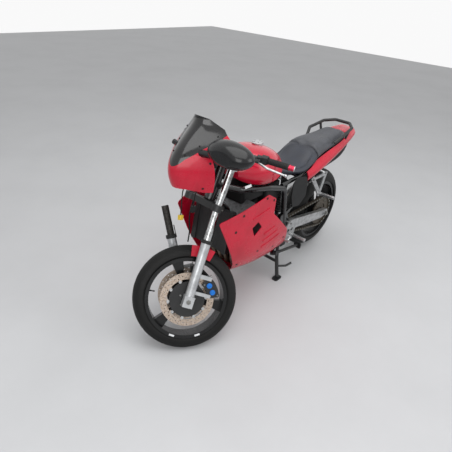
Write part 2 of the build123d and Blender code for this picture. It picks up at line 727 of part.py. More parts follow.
with BuildPart() as rear_caliper:
    with BuildSketch(rear.offset(-rear_hub_half - 30)):
        with BuildLine():
            c1 = CenterArc((0, 0), 150, 48, 44)
            c2 = CenterArc((0, 0), 92, 48, 44)
            Line(c1 @ 0, c2 @ 0)
            Line(c1 @ 1, c2 @ 1)
        make_face()
    extrude(amount=48)
    add(ring(rear, 127, 0, -rear_hub_half - disc_thick - 6, -rear_hub_half + 5), mode=Mode.SUBTRACT)
    add(rod(at(112, -94, 344), at(112, -106, 344), 14))
    add(rod(at(138, -94, 350), at(138, -106, 350), 9))
    add(swingarm.part, mode=Mode.SUBTRACT)

# ---------------------------------------------------------------- footrests and stands
hanger_outline = [(596, 330), (606, 398), (520, 470), (452, 420), (470, 352), (520, 318)]


def footrest_part(sign):
    """Footrest hanger with its peg, guard and pedal on one side."""
    plate_y = sign * (rail_y + 12 + 14 + 10)
    with BuildPart() as piece:
        add(side_plate(plate_y, 8, hanger_outline, 14))
        with BuildSketch(side(plate_y)):
            with Locations((545, 395), (508, 395)):
                Circle(13)
        extrude(amount=20, both=True, mode=Mode.SUBTRACT)
        add(rod(at(500, plate_y, 352), at(496, plate_y + sign * 112, 350), 12))
        for x, z in ((582, 345), (530, 446)):
            add(rod(at(x, sign * (rail_y + 12), z), at(x, plate_y, z), 9))
        # pedal: a lever from its pivot to the toe piece
        lever_y = plate_y + sign * 14
        add(rod(at(520, plate_y, 340), at(520, lever_y + sign * 6, 340), 9))
        add(tube([at(520, lever_y, 340), at(556, lever_y, 328), at(588, lever_y + sign * 6, 344)], 6.5, 14))
        add(rod(at(588, lever_y - sign * 2, 344), at(588, lever_y + sign * 34, 344), 9))
        add(frame.part, mode=Mode.SUBTRACT)
    return piece.part


with BuildPart() as footrest_left:
    add(footrest_part(1))
with BuildPart() as footrest_right:
    add(footrest_part(-1))


def peg_bracket_part(sign):
    """Triangulated passenger-peg hanger with the folding peg turned out."""
    plate_y = sign * 148
    with BuildPart() as piece:
        with BuildSketch(side(plate_y)) as face:
            Polygon((330, 706), (300, 720), (165, 560), (195, 545), align=None)
            Polygon((120, 706), (150, 716), (200, 552), (170, 546), align=None)
            Polygon((130, 706), (130, 686), (320, 686), (320, 706), align=None)
            with Locations((183, 556)):
                Circle(22)
        extrude(amount=5, both=True)
        add(rod(at(183, plate_y, 556), at(178, plate_y + sign * 122, 560), 12))
        add(rod(at(296, sign * 112, 659), at(300, plate_y, 694), 8))
        add(rod(at(196, sign * 107, 734), at(150, plate_y, 704), 8))
        for rail in seat_rails + struts:
            add(rail, mode=Mode.SUBTRACT)
        add(tail_cowl.part, mode=Mode.SUBTRACT)
        add(rear_mudguard.part, mode=Mode.SUBTRACT)
    return piece.part


with BuildPart() as peg_bracket_left:
    add(peg_bracket_part(1))
with BuildPart() as peg_bracket_right:
    add(peg_bracket_part(-1))

stand_pivot = at(stand_x, 0, stand_z)
stand_foot_x = 572.0
with BuildPart() as centre_stand:
    add(rod(stand_pivot + Vector(0, -rail_y - 14, 0), stand_pivot + Vector(0, rail_y + 14, 0), stand_pin_r))
    add(rod(stand_pivot + Vector(0, -108, 0), stand_pivot + Vector(0, 108, 0), 14))
    for sign in (1, -1):
        add(tube([stand_pivot + Vector(0, sign * 96, 0), at(548, sign * 112, 150), at(stand_foot_x - 4, sign * 150, 14)], 13, 60))
        with BuildSketch(level(0)):
            with Locations((stand_foot_x, sign * 152)):
                RectangleRounded(70, 44, 14)
        extrude(amount=12)
    add(rod(at(552, -112, 122), at(552, 112, 122), 11))
    add(tube([at(560, 130, 92), at(500, 168, 86), at(450, 176, 92)], 8, 30))

side_fold = Vector(-1, 0.10, -0.10).normalized()
side_len = 236.0
with BuildPart() as side_stand:
    knuckle = side_pivot - side_axis * 11
    tip = knuckle + side_fold * side_len
    add(ring(side_hinge, 16, 0, seat_gap, 22))
    add(ring(side_hinge, side_pin_r, 0, -26, 2))
    add(rod(knuckle, tip, 10))
    with BuildSketch(Plane(origin=tip, z_dir=side_fold)):
        RectangleRounded(44, 58, 10)
    extrude(amount=8)

# ---------------------------------------------------------------- fairing and screen
cowl_levels = [(850, 1398, 84, 1352, 142, 1290, 178, 1170), (921, 1426, 86, 1370, 148, 1300, 184, 1170),
               (1010, 1446, 86, 1384, 150, 1306, 186, 1170), (1120, 1384, 80, 1328, 138, 1254, 166, 1160),
               (1275, 1282, 64, 1238, 94, 1190, 108, 1104)]


def cowl_section(plane, nose, y1, x1, y2, x2, y3, x3, inset):
    """A blunt nose outline at one height, closed straight across behind."""
    with BuildSketch(plane) as cut:
        with BuildLine():
            Spline((x3, y3 - inset), (x2 - inset * 0.6, y2 - inset), (x1 - inset, y1 - inset * 0.6), (nose - inset, 0),
                   (x1 - inset, -y1 + inset * 0.6), (x2 - inset * 0.6, -y2 + inset), (x3, -y3 + inset))
            Line((x3, -y3 + inset), (x3, y3 - inset))
        make_face()
    return cut.sketch


def cowl_shell(inset):
    cuts = [cowl_section(level(z), *sizes, inset) for z, *sizes in cowl_levels]
    with BuildPart() as piece:
        loft(cuts)
    return piece.part


nose_outer = cowl_shell(0)
nose_inner = cowl_shell(skin)
screen_line = [(1480, 1002), (1400, 1074), (1318, 1120), (1198, 1176)]      # the screen's lower edge
with BuildPart() as nose_shell:
    add(nose_outer)
    add(nose_inner, mode=Mode.SUBTRACT)
with BuildPart() as upper_fairing:
    add(nose_shell.part)
    with BuildSketch(side(0)):
        Polygon((1500, 926), (1424, 921), (1400, 921), (1330, 905), (1296, 905), (1300, 1092), (1186, 1144),
                *reversed(screen_line), align=None)
    extrude(amount=300, both=True, mode=Mode.INTERSECT)
with BuildPart() as screen:
    add(nose_shell.part)
    with BuildSketch(side(0)):
        Polygon(*screen_line, (1200, 1200), (1246, 1246), (1292, 1264), (1480, 1264), align=None)
    extrude(amount=300, both=True, mode=Mode.INTERSECT)

# ---------------------------------------------------------------- lower fairing
tub_stations = [(1262, 186, 150, 92, 330), (1100, 205, 190, 110, 262), (900, 212, 218, 128, 228), (700, 214, 222, 132, 222),
                (560, 204, 204, 128, 232)]
tub_top = 820.0


def tub_section(plane, top, middle, low, bottom, inset):
    """A hull section, open above: half widths at the top, the middle and near the floor pan."""
    with BuildSketch(plane) as cut:
        with BuildLine():
            Spline((top - inset, tub_top), (middle - inset, 540), (low - inset * 0.8, bottom + 48 + inset), (0, bottom + inset),
                   (-low + inset * 0.8, bottom + 48 + inset), (-middle + inset, 540), (-top + inset, tub_top))
            Line((-top + inset, tub_top), (top - inset, tub_top))
        make_face()
    return cut.sketch


def tub(inset, reach):
    cuts = []
    for k, (x, *sizes) in enumerate(tub_stations):
        shift = reach if k == 0 else (-reach if k == len(tub_stations) - 1 else 0)
        cuts.append(tub_section(station(x + shift), *sizes, inset))
    with BuildPart() as piece:
        loft(cuts)
    return piece.part


with BuildPart() as tub_shell:
    add(tub(0, 0))
    add(tub(skin, 0.5), mode=Mode.SUBTRACT)
rib_high = 3.0                 # the pressed ribs stand this far out of the panel
rib_shapes = [[(868, 706), (1010, 676), (1010, 664), (868, 690)], [(806, 560), (900, 540), (900, 526), (794, 546)],
              [(772, 520), (900, 492), (900, 478), (760, 506)], [(738, 480), (900, 444), (900, 430), (726, 466)]]
tub_outer = tub(0, 0)
with BuildPart() as rib_shell:
    add(tub(-rib_high, 0))
    add(tub(skin, 0.5), mode=Mode.SUBTRACT)
panel_shape = [(1250, 712), (890, 790), (822, 748), (832, 652), (642, 470), (592, 322), (1075, 330), (1140, 470)]
pan_shape = [(1072, 329.4), (630, 322.1), (630, 200), (1032, 200), (1040, 285)]


def rib_part(sign, shape):
    """A pressed rib that follows the panel's curve."""
    with BuildPart() as piece:
        with BuildSketch(side(0)) as strip:
            Polygon(*shape, align=None)
            fillet(strip.vertices(), 4)
        extrude(amount=-sign * 300)
        add(rib_shell.part, mode=Mode.INTERSECT)
    return piece.part


def panel_lug(sign):
    """The post that holds a side panel off the crankcase cover."""
    with BuildPart() as piece:
        add(rod(at(905, sign * cover_y, 400), at(905, sign * (cover_y + 100), 400), 9))
        add(tub_outer, mode=Mode.INTERSECT)
    return piece.part


def panel_part(sign):
    """One side of the lower fairing with its diamond cut-out and two pressed ribs."""
    with BuildPart() as piece:
        add(tub_shell.part)
        with BuildSketch(side(0)) as face:
            Polygon(*panel_shape, align=None)
            fillet(face.vertices(), 14)
        extrude(amount=-sign * 300, mode=Mode.INTERSECT)
        with BuildSketch(side(0)) as diamond:
            Polygon((1010, 612), (965, 640), (930, 596), (985, 548), align=None)
            fillet(diamond.vertices(), 5)
        extrude(amount=-sign * 300, mode=Mode.SUBTRACT)
        for shape in rib_shapes:
            add(rib_part(sign, shape))
        add(panel_lug(sign))
    return piece.part


with BuildPart() as fairing_left:
    add(panel_part(1))
with BuildPart() as fairing_right:
    add(panel_part(-1))
with BuildPart() as belly_pan:
    add(tub_shell.part)
    with BuildSketch(side(0)) as face:
        Polygon(*pan_shape, align=None)
    extrude(amount=300, both=True, mode=Mode.INTERSECT)
    add(tube(link_route, 30, 45), mode=Mode.SUBTRACT)
    with BuildSketch(level(200)):
        with Locations((628, 140)):
            Rectangle(110, 84)
    extrude(amount=130, mode=Mode.SUBTRACT)

# ---------------------------------------------------------------- instruments, stay and mirrors
stay_low = steer.from_local_coords((0, -32.5, 120))
dash_x = 1286.0               # the rail that carries the instruments
dash_z = 1016.0
with BuildPart() as fairing_stay:
    for sign in (1, -1):
        add(tube([stay_low + Vector(22, 0, 4), at(1215, sign * 34, 900), at(1272, sign * 96, 990),
                  at(1310, sign * 112, 1058)], 8, 30))
        add(rod(at(1310, sign * 104, 1053), at(1310, sign * 190, 1053), 9))
    add(rod(at(dash_x, -112, dash_z), at(dash_x, 112, dash_z), 7))
    add(nose_outer, mode=Mode.INTERSECT)
    add(upper_fairing.part, mode=Mode.SUBTRACT)
    add(rod(stay_low + Vector(-8, 0, 0), stay_low + Vector(52, 0, 6), 15))
with BuildPart() as frame_with_stay:
    add(frame.part)
    add(fairing_stay.part)
    with BuildSketch(head_plane):
        Circle(stem_r + running_gap)
    extrude(amount=headstock_high - headstock_low, mode=Mode.SUBTRACT)
with BuildPart() as instruments:
    dash = Plane(origin=at(1222, 0, 1072), x_dir=(0, 1, 0), z_dir=(-cos(radians(35)), 0, sin(radians(35))))
    with BuildSketch(dash.offset(-48)):
        RectangleRounded(228, 104, 30)
    extrude(amount=62)
    for y, r in ((58, 44), (-58, 44)):
        with BuildSketch(dash.offset(14)):
            with Locations((y, 0)):
                Circle(r)
                Circle(r - 5, mode=Mode.SUBTRACT)
        extrude(amount=6)
    add(rod(at(1232, 0, 1056), at(dash_x, 0, dash_z), 9))
    add(fairing_stay.part, mode=Mode.SUBTRACT)


def housing(centre, sign):
    """A lofted shell form: wide at the rear face and domed in front."""
    cuts = []
    for dx, wide, tall, shift in ((-38, 122, 56, 0), (0, 126, 62, 2), (34, 108, 52, 4), (58, 62, 30, 6)):
        with BuildSketch(Plane(origin=centre + Vector(dx, sign * shift, 0), x_dir=(0, 1, 0), z_dir=(1, 0, 0))) as cut:
            Ellipse(wide, tall)
        cuts.append(cut.sketch)
    with BuildPart() as piece:
        loft(cuts)
        fillet(piece.faces().sort_by(Axis.X)[-1].edges(), 12)
    return piece.part


mirror_centre = at(1330, 262, 1148)
with BuildPart() as mirror_left:
    add(housing(mirror_centre, 1))
    add(tube([at(1326, 60, 1096), at(1326, 150, 1112), at(1328, 196, 1138)], 18, 30))
    add(nose_outer, mode=Mode.SUBTRACT)
with BuildPart() as mirror_right:        # only the root of its arm is left
    add(rod(at(1326, -60, 1096), at(1326, -112, 1105), 14))
    add(nose_outer, mode=Mode.SUBTRACT)

# ---------------------------------------------------------------- loose hose and lamp loom
hose_r = 4.0
hose_points = [steer.from_local_coords((-66, -48, -17.5)), steer.from_local_coords((-66, -48, -66)),
               at(1252, -62, 646), at(1250, -56, 590), at(1258, -52, 546), at(1264, -54, 506)]
loom_r = 3.0
loom_points = [at(1242.2, -53.6, 928.4), at(1281.1, -42.1, 911.8), at(1330, -36, 868), at(1356, -14, 810),
               at(1376, 2, 746)]
plug_points = [at(1242.2, 53.6, 928.4), at(1281.1, 42.1, 911.8), at(1314, 38, 862), at(1322, 40, 796)]


def corner_radii(points):
    """The largest arcs that leave a little straight in every run."""
    radii = []
    for a, b, c in zip(points, points[1:], points[2:]):
        half_turn = radians((b - a).get_angle(c - b)) / 2
        radii.append(0.45 * min((b - a).length, (c - b).length) / (sin(half_turn) / cos(half_turn)))
    return radii


def cord_part(points, radius):
    radii = corner_radii(points)
    print("cord radii", [round(r, 1) for r in radii])
    return tube(points, radius, min(radii) * 0.98)


with BuildPart() as brake_hose:
    add(cord_part(hose_points, hose_r))
with BuildPart() as loom_cable:
    add(cord_part(loom_points, loom_r))
with BuildPart() as plug_cable:
    add(cord_part(plug_points, loom_r))


def connector(end, before, wide, deep, long):
    """A plastic plug on the end of a cord."""
    with BuildPart() as piece:
        with BuildSketch(Plane(origin=end, z_dir=end - before)):
            RectangleRounded(wide, deep, 2)
        extrude(amount=long)
    return piece.part


with BuildPart() as yellow_plug:
    add(connector(loom_points[-1], loom_points[-2], 24, 20, 26))
with BuildPart() as black_plug:
    add(connector(plug_points[-1], plug_points[-2], 26, 18, 34))
pieces = {
    "frame": frame_with_stay, "engine_crankcase": engine_crankcase, "cylinder_block": cylinder_block, "exhaust": exhaust,
    "radiator": radiator, "airbox": airbox, "fuel_tank": fuel_tank, "filler_cap": filler_cap,
    "seat_rider": seat_rider, "seat_pillion": seat_pillion, "tail_cowl": tail_cowl, "tail_lamp": tail_lamp,
    "grab_rail": grab_rail, "side_panel_left": side_panel_left, "side_panel_right": side_panel_right,
    "rear_mudguard": rear_mudguard, "swingarm": swingarm, 
    "shock": shock, "rear_rim": rear_rim, "rear_tyre": rear_tyre, "rear_disc": rear_disc,
    "rear_sprocket": rear_sprocket, "chain": chain, "rear_caliper": rear_caliper, "footrest_left": footrest_left,
    "footrest_right": footrest_right, "peg_bracket_left": peg_bracket_left, "peg_bracket_right": peg_bracket_right,
    "centre_stand": centre_stand, "side_stand": side_stand, "upper_fairing": upper_fairing, "screen": screen,
    "fairing_left": fairing_left, "fairing_right": fairing_right, "belly_pan": belly_pan,
    "instruments": instruments, "mirror_left": mirror_left,
    "mirror_right": mirror_right, "lower_yoke": lower_yoke, "upper_yoke": upper_yoke, "handlebar": handlebar,
    "controls_left": controls_left, "controls_right": controls_right, "stanchion_left": stanchion_left,
    "stanchion_right": stanchion_right, "slider_left": slider_left, "slider_right": slider_right,
    "front_axle": front_axle, "front_rim": front_rim, "front_tyre": front_tyre, "front_disc_left": front_disc_left,
    "front_disc_right": front_disc_right, "caliper_left": caliper_left, "caliper_right": caliper_right,
    "mudguard_remnant": mudguard_remnant, "brake_hose": brake_hose, "loom_cable": loom_cable, "plug_cable": plug_cable,
    "yellow_plug": yellow_plug, "black_plug": black_plug,
}
for name, piece in pieces.items():
    piece.part.label = name
    export_step(piece.part, "parts/" + name + ".step")
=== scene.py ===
"""Finishes, soft seats, cords and small fittings of a faired road motorcycle with a wrecked front end.

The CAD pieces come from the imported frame, in metres: +X forward, +Y to the rider's left, +Z up.
Sizes here are in millimetres and go through mm() or at(), which counts X from the rear axle.
"""
import json
from math import acos, atan2, cos, pi, radians, sin, tau

import bpy
from mathutils import Matrix, Quaternion, Vector


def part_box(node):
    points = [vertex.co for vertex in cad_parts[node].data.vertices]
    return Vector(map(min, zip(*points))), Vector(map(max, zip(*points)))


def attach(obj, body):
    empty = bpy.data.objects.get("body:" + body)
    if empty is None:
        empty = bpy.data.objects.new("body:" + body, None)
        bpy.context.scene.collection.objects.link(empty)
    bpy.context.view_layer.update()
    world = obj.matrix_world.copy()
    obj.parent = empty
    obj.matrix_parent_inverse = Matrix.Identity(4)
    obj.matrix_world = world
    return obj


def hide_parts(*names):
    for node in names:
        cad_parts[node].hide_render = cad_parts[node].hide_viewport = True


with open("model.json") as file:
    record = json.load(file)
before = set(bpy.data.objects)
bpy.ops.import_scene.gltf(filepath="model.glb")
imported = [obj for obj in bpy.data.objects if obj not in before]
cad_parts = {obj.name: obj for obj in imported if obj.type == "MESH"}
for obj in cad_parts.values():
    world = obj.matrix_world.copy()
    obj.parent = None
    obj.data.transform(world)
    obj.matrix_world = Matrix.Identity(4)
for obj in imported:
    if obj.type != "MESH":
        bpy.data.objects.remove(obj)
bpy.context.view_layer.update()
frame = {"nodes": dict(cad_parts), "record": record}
nodes = frame["nodes"]
joints = {joint["name"]: joint for joint in frame["record"]["behaviour"]["joints"]}


# ---------------------------------------------------------------- sizes and places
def mm(value):
    return value / 1000


rear_axle = Vector(joints["rear_wheel_spin"]["pos_m"])


def at(x, y, z):
    """A place x mm ahead of the rear axle, y mm to the left and z mm above the floor."""
    return Vector((rear_axle.x + mm(x), mm(y), mm(z)))


wheel_centre = Vector(joints["front_wheel_spin"]["pos_m"])
axle = Vector(joints["front_wheel_spin"]["axis"]).normalized()
steer_foot = Vector(joints["steering_turn"]["pos_m"])
steer_up = Vector(joints["steering_turn"]["axis"]).normalized()
left = Vector((0, 1, 0))
forward = Vector((1, 0, 0))
up = Vector((0, 0, 1))
sides = ((1, "left"), (-1, "right"))
fork_spread = 103.0         # from the middle to each fork leg
fork_ahead = 38.7           # the legs lie this far ahead of the steering axis
bend_side = 8.0             # how far the left leg's foot is bent, in degrees
bend_forward = 6.0
right_swing = 29.0          # how far the torn right leg has swung about the axle, in degrees
collar_height = 345.0       # top of a slider's dust collar, above its foot
caliper_outside = 89.8      # outer face of a caliper's body, from the middle of the wheel
disc_carrier_front = 105.0
disc_carrier_rear = 78.0
cover_face = 156.0          # outer face of the crankcase covers, from the middle
leg_up = Quaternion(left, radians(-bend_forward)) @ Quaternion(forward, radians(bend_side)) @ steer_up
left_foot = wheel_centre + axle * mm(fork_spread)
right_foot = wheel_centre - axle * mm(fork_spread)
right_up = Quaternion(axle, radians(right_swing)) @ leg_up
steer_back = steer_up.cross(left)


def steer_at(left_mm, back_mm, up_mm):
    """A place in the steering head's own directions."""
    return steer_foot + left * mm(left_mm) + steer_back * mm(back_mm) + steer_up * mm(up_mm)


bar_centre = steer_at(0, 8, 278)


def bar_at(x, y, z):
    """A place x, y and z mm from the middle of the handlebar."""
    return bar_centre + Vector((mm(x), mm(y), mm(z)))


def grip_ends(sign):
    """The inner and outer end of a grip; sign is 1 on the left and -1 on the right."""
    return bar_at(-58, sign * 232, 26), bar_at(-108, sign * 352, 12)


# ---------------------------------------------------------------- small helpers
def deselect():
    """Leaves edit mode with nothing selected."""
    if bpy.context.object and bpy.context.object.mode != "OBJECT":
        bpy.ops.object.mode_set(mode="OBJECT")
    bpy.ops.object.select_all(action="DESELECT")


def pick_only(*objects):
    deselect()
    for each in objects:
        each.select_set(True)
    bpy.context.view_layer.objects.active = objects[0]


def edit_faces(piece, chosen, *steps):
    """Selects the faces for which chosen(face) is true and runs the steps on them in edit mode."""
    pick_only(piece)
    bpy.ops.object.mode_set(mode="EDIT")
    bpy.ops.mesh.select_mode(type="FACE")
    bpy.ops.mesh.select_all(action="DESELECT")
    bpy.ops.object.mode_set(mode="OBJECT")
    for face in piece.data.polygons:
        face.select = chosen(face)
    bpy.ops.object.mode_set(mode="EDIT")
    for step in steps:
        step()
    bpy.ops.object.mode_set(mode="OBJECT")


def settle(piece):
    """Moves the object's place into its mesh."""
    pick_only(piece)
    bpy.ops.object.transform_apply(location=True, rotation=True, scale=True)
    return piece


def joined(pieces, name):
    pick_only(*pieces)
    if len(pieces) > 1:
        bpy.ops.object.join()
    made = bpy.context.object
    made.name = name
    made.data.name = name
    return settle(made)


def with_modifier(piece, kind, **settings):
    """Adds a modifier, sets it and applies it."""
    pick_only(piece)
    made = piece.modifiers.new(kind.title(), kind)
    for name, value in settings.items():
        setattr(made, name, value)
    bpy.ops.object.modifier_apply(modifier=made.name)
    return piece


def smooth(piece, angle=35):
    pick_only(piece)
    bpy.ops.object.shade_smooth_by_angle(angle=radians(angle))
    return piece


def finished(piece, body, material):
    """Gives a new piece its material and the body that it rides on."""
    piece.data.materials.clear()
    piece.data.materials.append(material)
    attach(piece, body)
    return piece


def facing(place, direction, turn=0.0):
    """The matrix that stands a piece's +Z along direction at place."""
    look = Vector(direction).to_track_quat("Z", "Y") @ Quaternion((0, 0, 1), turn)
    return Matrix.Translation(place) @ look.to_matrix().to_4x4()


def copies(template, matrices, name):
    """One mesh with a copy of the template at each matrix; the template goes."""
    made = []
    for matrix in matrices:
        each = template.copy()
        each.data = template.data.copy()
        each.data.transform(matrix)
        bpy.context.collection.objects.link(each)
        made.append(each)
    bpy.data.objects.remove(template)
    return joined(made, name)


# ---------------------------------------------------------------- material helpers
def colour(code):
    """A hex sRGB colour as linear RGBA."""
    values = [int(code[i:i + 2], 16) / 255 for i in (1, 3, 5)]
    return [v / 12.92 if v <= 0.04045 else ((v + 0.055) / 1.055) ** 2.4 for v in values] + [1.0]


def node(tree, kind, values=None, **settings):
    """Adds a node with its settings; each of values is a number, a colour or another node's socket."""
    made = tree.nodes.new("ShaderNode" + kind)
    for name, value in settings.items():
        setattr(made, name, value)
    for name, value in (values or {}).items():
        if isinstance(value, bpy.types.NodeSocket):
            tree.links.new(value, made.inputs[name])
        else:
            made.inputs[name].default_value = value
    return made


def new_material(name):
    material = bpy.data.materials.new(name)
    material.use_nodes = True
    tree = material.node_tree
    return material, tree, tree.nodes["Principled BSDF"], node(tree, "TexCoord").outputs["Object"]


def step_up(tree, value, edge, soft):
    """0 below the edge and 1 above it, over a soft width."""
    return node(tree, "MapRange", {"Value": value, "From Min": edge - soft / 2,
                                   "From Max": edge + soft / 2}).outputs["Result"]


def beyond(point, direction, soft=0.6):
    """A mask that is 1 past the plane through point, in the direction."""
    def mask(tree, place):
        away = node(tree, "VectorMath", {0: place, 1: point}, operation="SUBTRACT").outputs["Vector"]
        height = node(tree, "VectorMath", {0: away, 1: direction}, operation="DOT_PRODUCT").outputs["Value"]
        return step_up(tree, height, 0.0, mm(soft))
    return mask


def off_axis(point, direction, radius, soft=0.6):
    """A mask that is 1 further than radius mm from the line through point."""
    def mask(tree, place):
        away = node(tree, "VectorMath", {0: place, 1: point}, operation="SUBTRACT").outputs["Vector"]
        side = node(tree, "VectorMath", {0: away, 1: direction}, operation="CROSS_PRODUCT").outputs["Vector"]
        reach = node(tree, "VectorMath", {0: side}, operation="LENGTH").outputs["Value"]
        return step_up(tree, reach, mm(radius), mm(soft))
    return mask


def far_left_or_right(y, soft=0.6):
    """A mask that is 1 further than y mm to either side."""
    def mask(tree, place):
        across = node(tree, "SeparateXYZ", {"Vector": place}).outputs["Y"]
        size = node(tree, "Math", {0: across}, operation="ABSOLUTE").outputs["Value"]
        return step_up(tree, size, mm(y), mm(soft))
    return mask


def finish(tree, place, base, worn, metallic, rough, patch, grain, depth, spread=0.12):
    """One finish: colours that drift over patch mm, roughness about rough, and a grain mm fine texture."""
    drift = node(tree, "TexNoise", {"Vector": place, "Scale": 1000 / patch, "Detail": 6.0, "Roughness": 0.62})
    share = node(tree, "MapRange", {"Value": drift.outputs["Fac"], "From Min": 0.42, "From Max": 0.68})
    tint = node(tree, "Mix", {"Factor": share.outputs["Result"], "A": colour(base), "B": colour(worn)},
                data_type="RGBA")
    fine = node(tree, "TexNoise", {"Vector": place, "Scale": 1000 / grain, "Detail": 3.0})
    dull = node(tree, "MapRange", {"Value": drift.outputs["Fac"], "From Min": 0.3, "From Max": 0.75,
                                   "To Min": max(0.03, rough - spread / 2),
                                   "To Max": min(1.0, rough + spread)})
    height = node(tree, "Math", {0: fine.outputs["Fac"], 1: mm(depth)}, operation="MULTIPLY")
    return {"Base Color": tint.outputs[2], "Metallic": metallic, "Roughness": dull.outputs["Result"],
            "height": height.outputs["Value"]}


def blended(tree, under, over, mask):
    """Lays one finish over another where the mask is 1."""
    tint = node(tree, "Mix", {"Factor": mask}, data_type="RGBA")
    tree.links.new(under["Base Color"], tint.inputs[6])
    tree.links.new(over["Base Color"], tint.inputs[7])
    made = {"Base Color": tint.outputs[2]}
    for name in ("Metallic", "Roughness", "height"):
        mixed = node(tree, "Mix", {0: mask, 2: under[name], 3: over[name]})
        made[name] = mixed.outputs[0]
    return made


def surfaced(name, layers, **sockets):
    """A material of one finish, or of finishes laid over it by masks: [finish, (mask, finish), ...]."""
    material, tree, shader, place = new_material(name)
    look = finish(tree, place, *layers[0])
    for mask, over in layers[1:]:
        look = blended(tree, look, finish(tree, place, *over), mask(tree, place))
    bump = node(tree, "Bump", {"Height": look.pop("height"), "Strength": 1.0, "Distance": 1.0})
    tree.links.new(bump.outputs["Normal"], shader.inputs["Normal"])
    for socket, value in look.items():
        if isinstance(value, bpy.types.NodeSocket):
            tree.links.new(value, shader.inputs[socket])
        else:
            shader.inputs[socket].default_value = value
    for socket, value in sockets.items():
        shader.inputs[socket.replace("_", " ")].default_value = value
    return material


# ---------------------------------------------------------------- finishes
# (colour, worn colour, metallic, roughness, patch mm, grain mm, grain depth mm)
ENAMEL_RED = ("#BC1230", "#AC0F29", 0.0, 0.22, 160, 2.5, 0.004)          # baked enamel, gone slightly flat
PLASTIC_RED = ("#BF1230", "#B00F2A", 0.0, 0.26, 120, 3.0, 0.006)         # painted ABS with fine scuffs
GLOSS_BLACK = ("#08090A", "#0E0F11", 0.0, 0.22, 60, 2.0, 0.004)          # stoved enamel on steel
MIRROR_BLACK = ("#0B0C0E", "#121316", 0.0, 0.24, 60, 2.0, 0.004)         # glossy moulded ABS
SATIN_BLACK = ("#0B0C0D", "#151617", 0.0, 0.42, 40, 1.6, 0.010)          # powder coat, dusty in places
MOULDED_BLACK = ("#0D0E0F", "#141516", 0.0, 0.55, 50, 1.2, 0.030)        # moulded polypropylene, grained
CAST_ALLOY = ("#7E8082", "#5E5F60", 0.85, 0.48, 18, 1.4, 0.060)          # sand-cast, stained grey
BARE_ALLOY = ("#B9BABB", "#8F9091", 0.9, 0.34, 26, 1.0, 0.020)           # machined and clouded aluminium
SILVER_PAINT = ("#B4B6B8", "#9B9D9F", 0.55, 0.34, 50, 1.2, 0.010)        # silver lacquer on castings
CHROME = ("#B9BBBC", "#6E6C69", 1.0, 0.14, 22, 0.8, 0.004)               # hard chrome gone mottled
TORN_STEEL = ("#3A3836", "#1D1C1B", 0.8, 0.50, 9, 1.0, 0.080)            # scored and blued steel
DISC_STEEL = ("#B9ACA0", "#8C7867", 0.9, 0.36, 7, 0.9, 0.020)            # rusty bloom on stainless
DRIVE_STEEL = ("#5D564C", "#37322C", 0.85, 0.46, 8, 1.0, 0.040)          # oiled chain steel
HEADER_STEEL = ("#8A7F70", "#5B4A3A", 0.9, 0.34, 30, 1.0, 0.020)         # heat-tinted stainless
SILENCER_ALLOY = ("#A7A8A9", "#8B8C8D", 0.95, 0.30, 40, 0.8, 0.012)
BLACK_RUBBER = ("#0B0B0B", "#131312", 0.0, 0.72, 25, 0.9, 0.040)
BLUE_ALLOY = ("#1F78D1", "#1A62B4", 0.5, 0.30, 12, 0.8, 0.006)           # dyed anodising
RED_ALLOY = ("#C4304A", "#A0223A", 0.7, 0.30, 12, 0.8, 0.006)
SMOKED = ("#0E0E10", "#1B1A1C", 0.0, 0.14, 70, 1.5, 0.010)
YELLOW_PLASTIC = ("#D8B93A", "#C2A22C", 0.0, 0.40, 12, 0.8, 0.010)
LAMP_RED = ("#7A0A12", "#5E070D", 0.0, 0.12, 30, 2.0, 0.004)

red_enamel = surfaced("red_baked_enamel", [ENAMEL_RED], Coat_Weight=0.35, Specular_IOR_Level=0.35)
red_plastic = surfaced("red_painted_abs", [PLASTIC_RED], Coat_Weight=0.25, Specular_IOR_Level=0.3)
black_enamel = surfaced("black_stoved_enamel", [GLOSS_BLACK], Coat_Weight=0.3)
black_powder = surfaced("black_powder_coat", [SATIN_BLACK])
black_moulding = surfaced("black_polypropylene", [MOULDED_BLACK], Specular_IOR_Level=0.3)
black_gloss = surfaced("black_gloss_abs", [MIRROR_BLACK], Coat_Weight=0.2, Specular_IOR_Level=0.3)
cast_alloy = surfaced("cast_aluminium", [CAST_ALLOY])
bare_alloy = surfaced("machined_aluminium", [BARE_ALLOY])
silver_lacquer = surfaced("silver_lacquer", [SILVER_PAINT], Coat_Weight=0.3)
fork_chrome = surfaced("hard_chrome", [CHROME])
torn_steel = surfaced("scored_steel", [TORN_STEEL])
drive_steel = surfaced("oiled_steel", [DRIVE_STEEL])
rubber = surfaced("black_rubber", [BLACK_RUBBER], Specular_IOR_Level=0.3)
yellow_plastic = surfaced("yellow_nylon", [YELLOW_PLASTIC])
lamp_red = surfaced("red_acrylic", [LAMP_RED], Coat_Weight=1.0)
bolt_steel = surfaced("zinc_plated_steel", [("#8E8F8D", "#6A6863", 0.95, 0.35, 6, 0.8, 0.01)])
swingarm_alloy = surfaced("swingarm_aluminium",
                          [BARE_ALLOY, (beyond(at(500, 0, 0), forward, 3), SATIN_BLACK)])
exhaust_metal = surfaced("exhaust_steel",
                         [HEADER_STEEL, (beyond(at(262, 0, 0), -forward, 2), SILENCER_ALLOY)])
bar_finish = surfaced("bar_and_grips", [GLOSS_BLACK, (far_left_or_right(238, 1), BLACK_RUBBER),
                                        (far_left_or_right(349, 1), RED_ALLOY)])
upper_yoke_alloy = surfaced("polished_aluminium", [BARE_ALLOY])


def collared(name, foot, direction):
    """A silver slider with its black dust collar."""
    top = foot + direction * mm(collar_height - 18)
    return surfaced(name, [SILVER_PAINT, (beyond(top, direction), BLACK_RUBBER)])


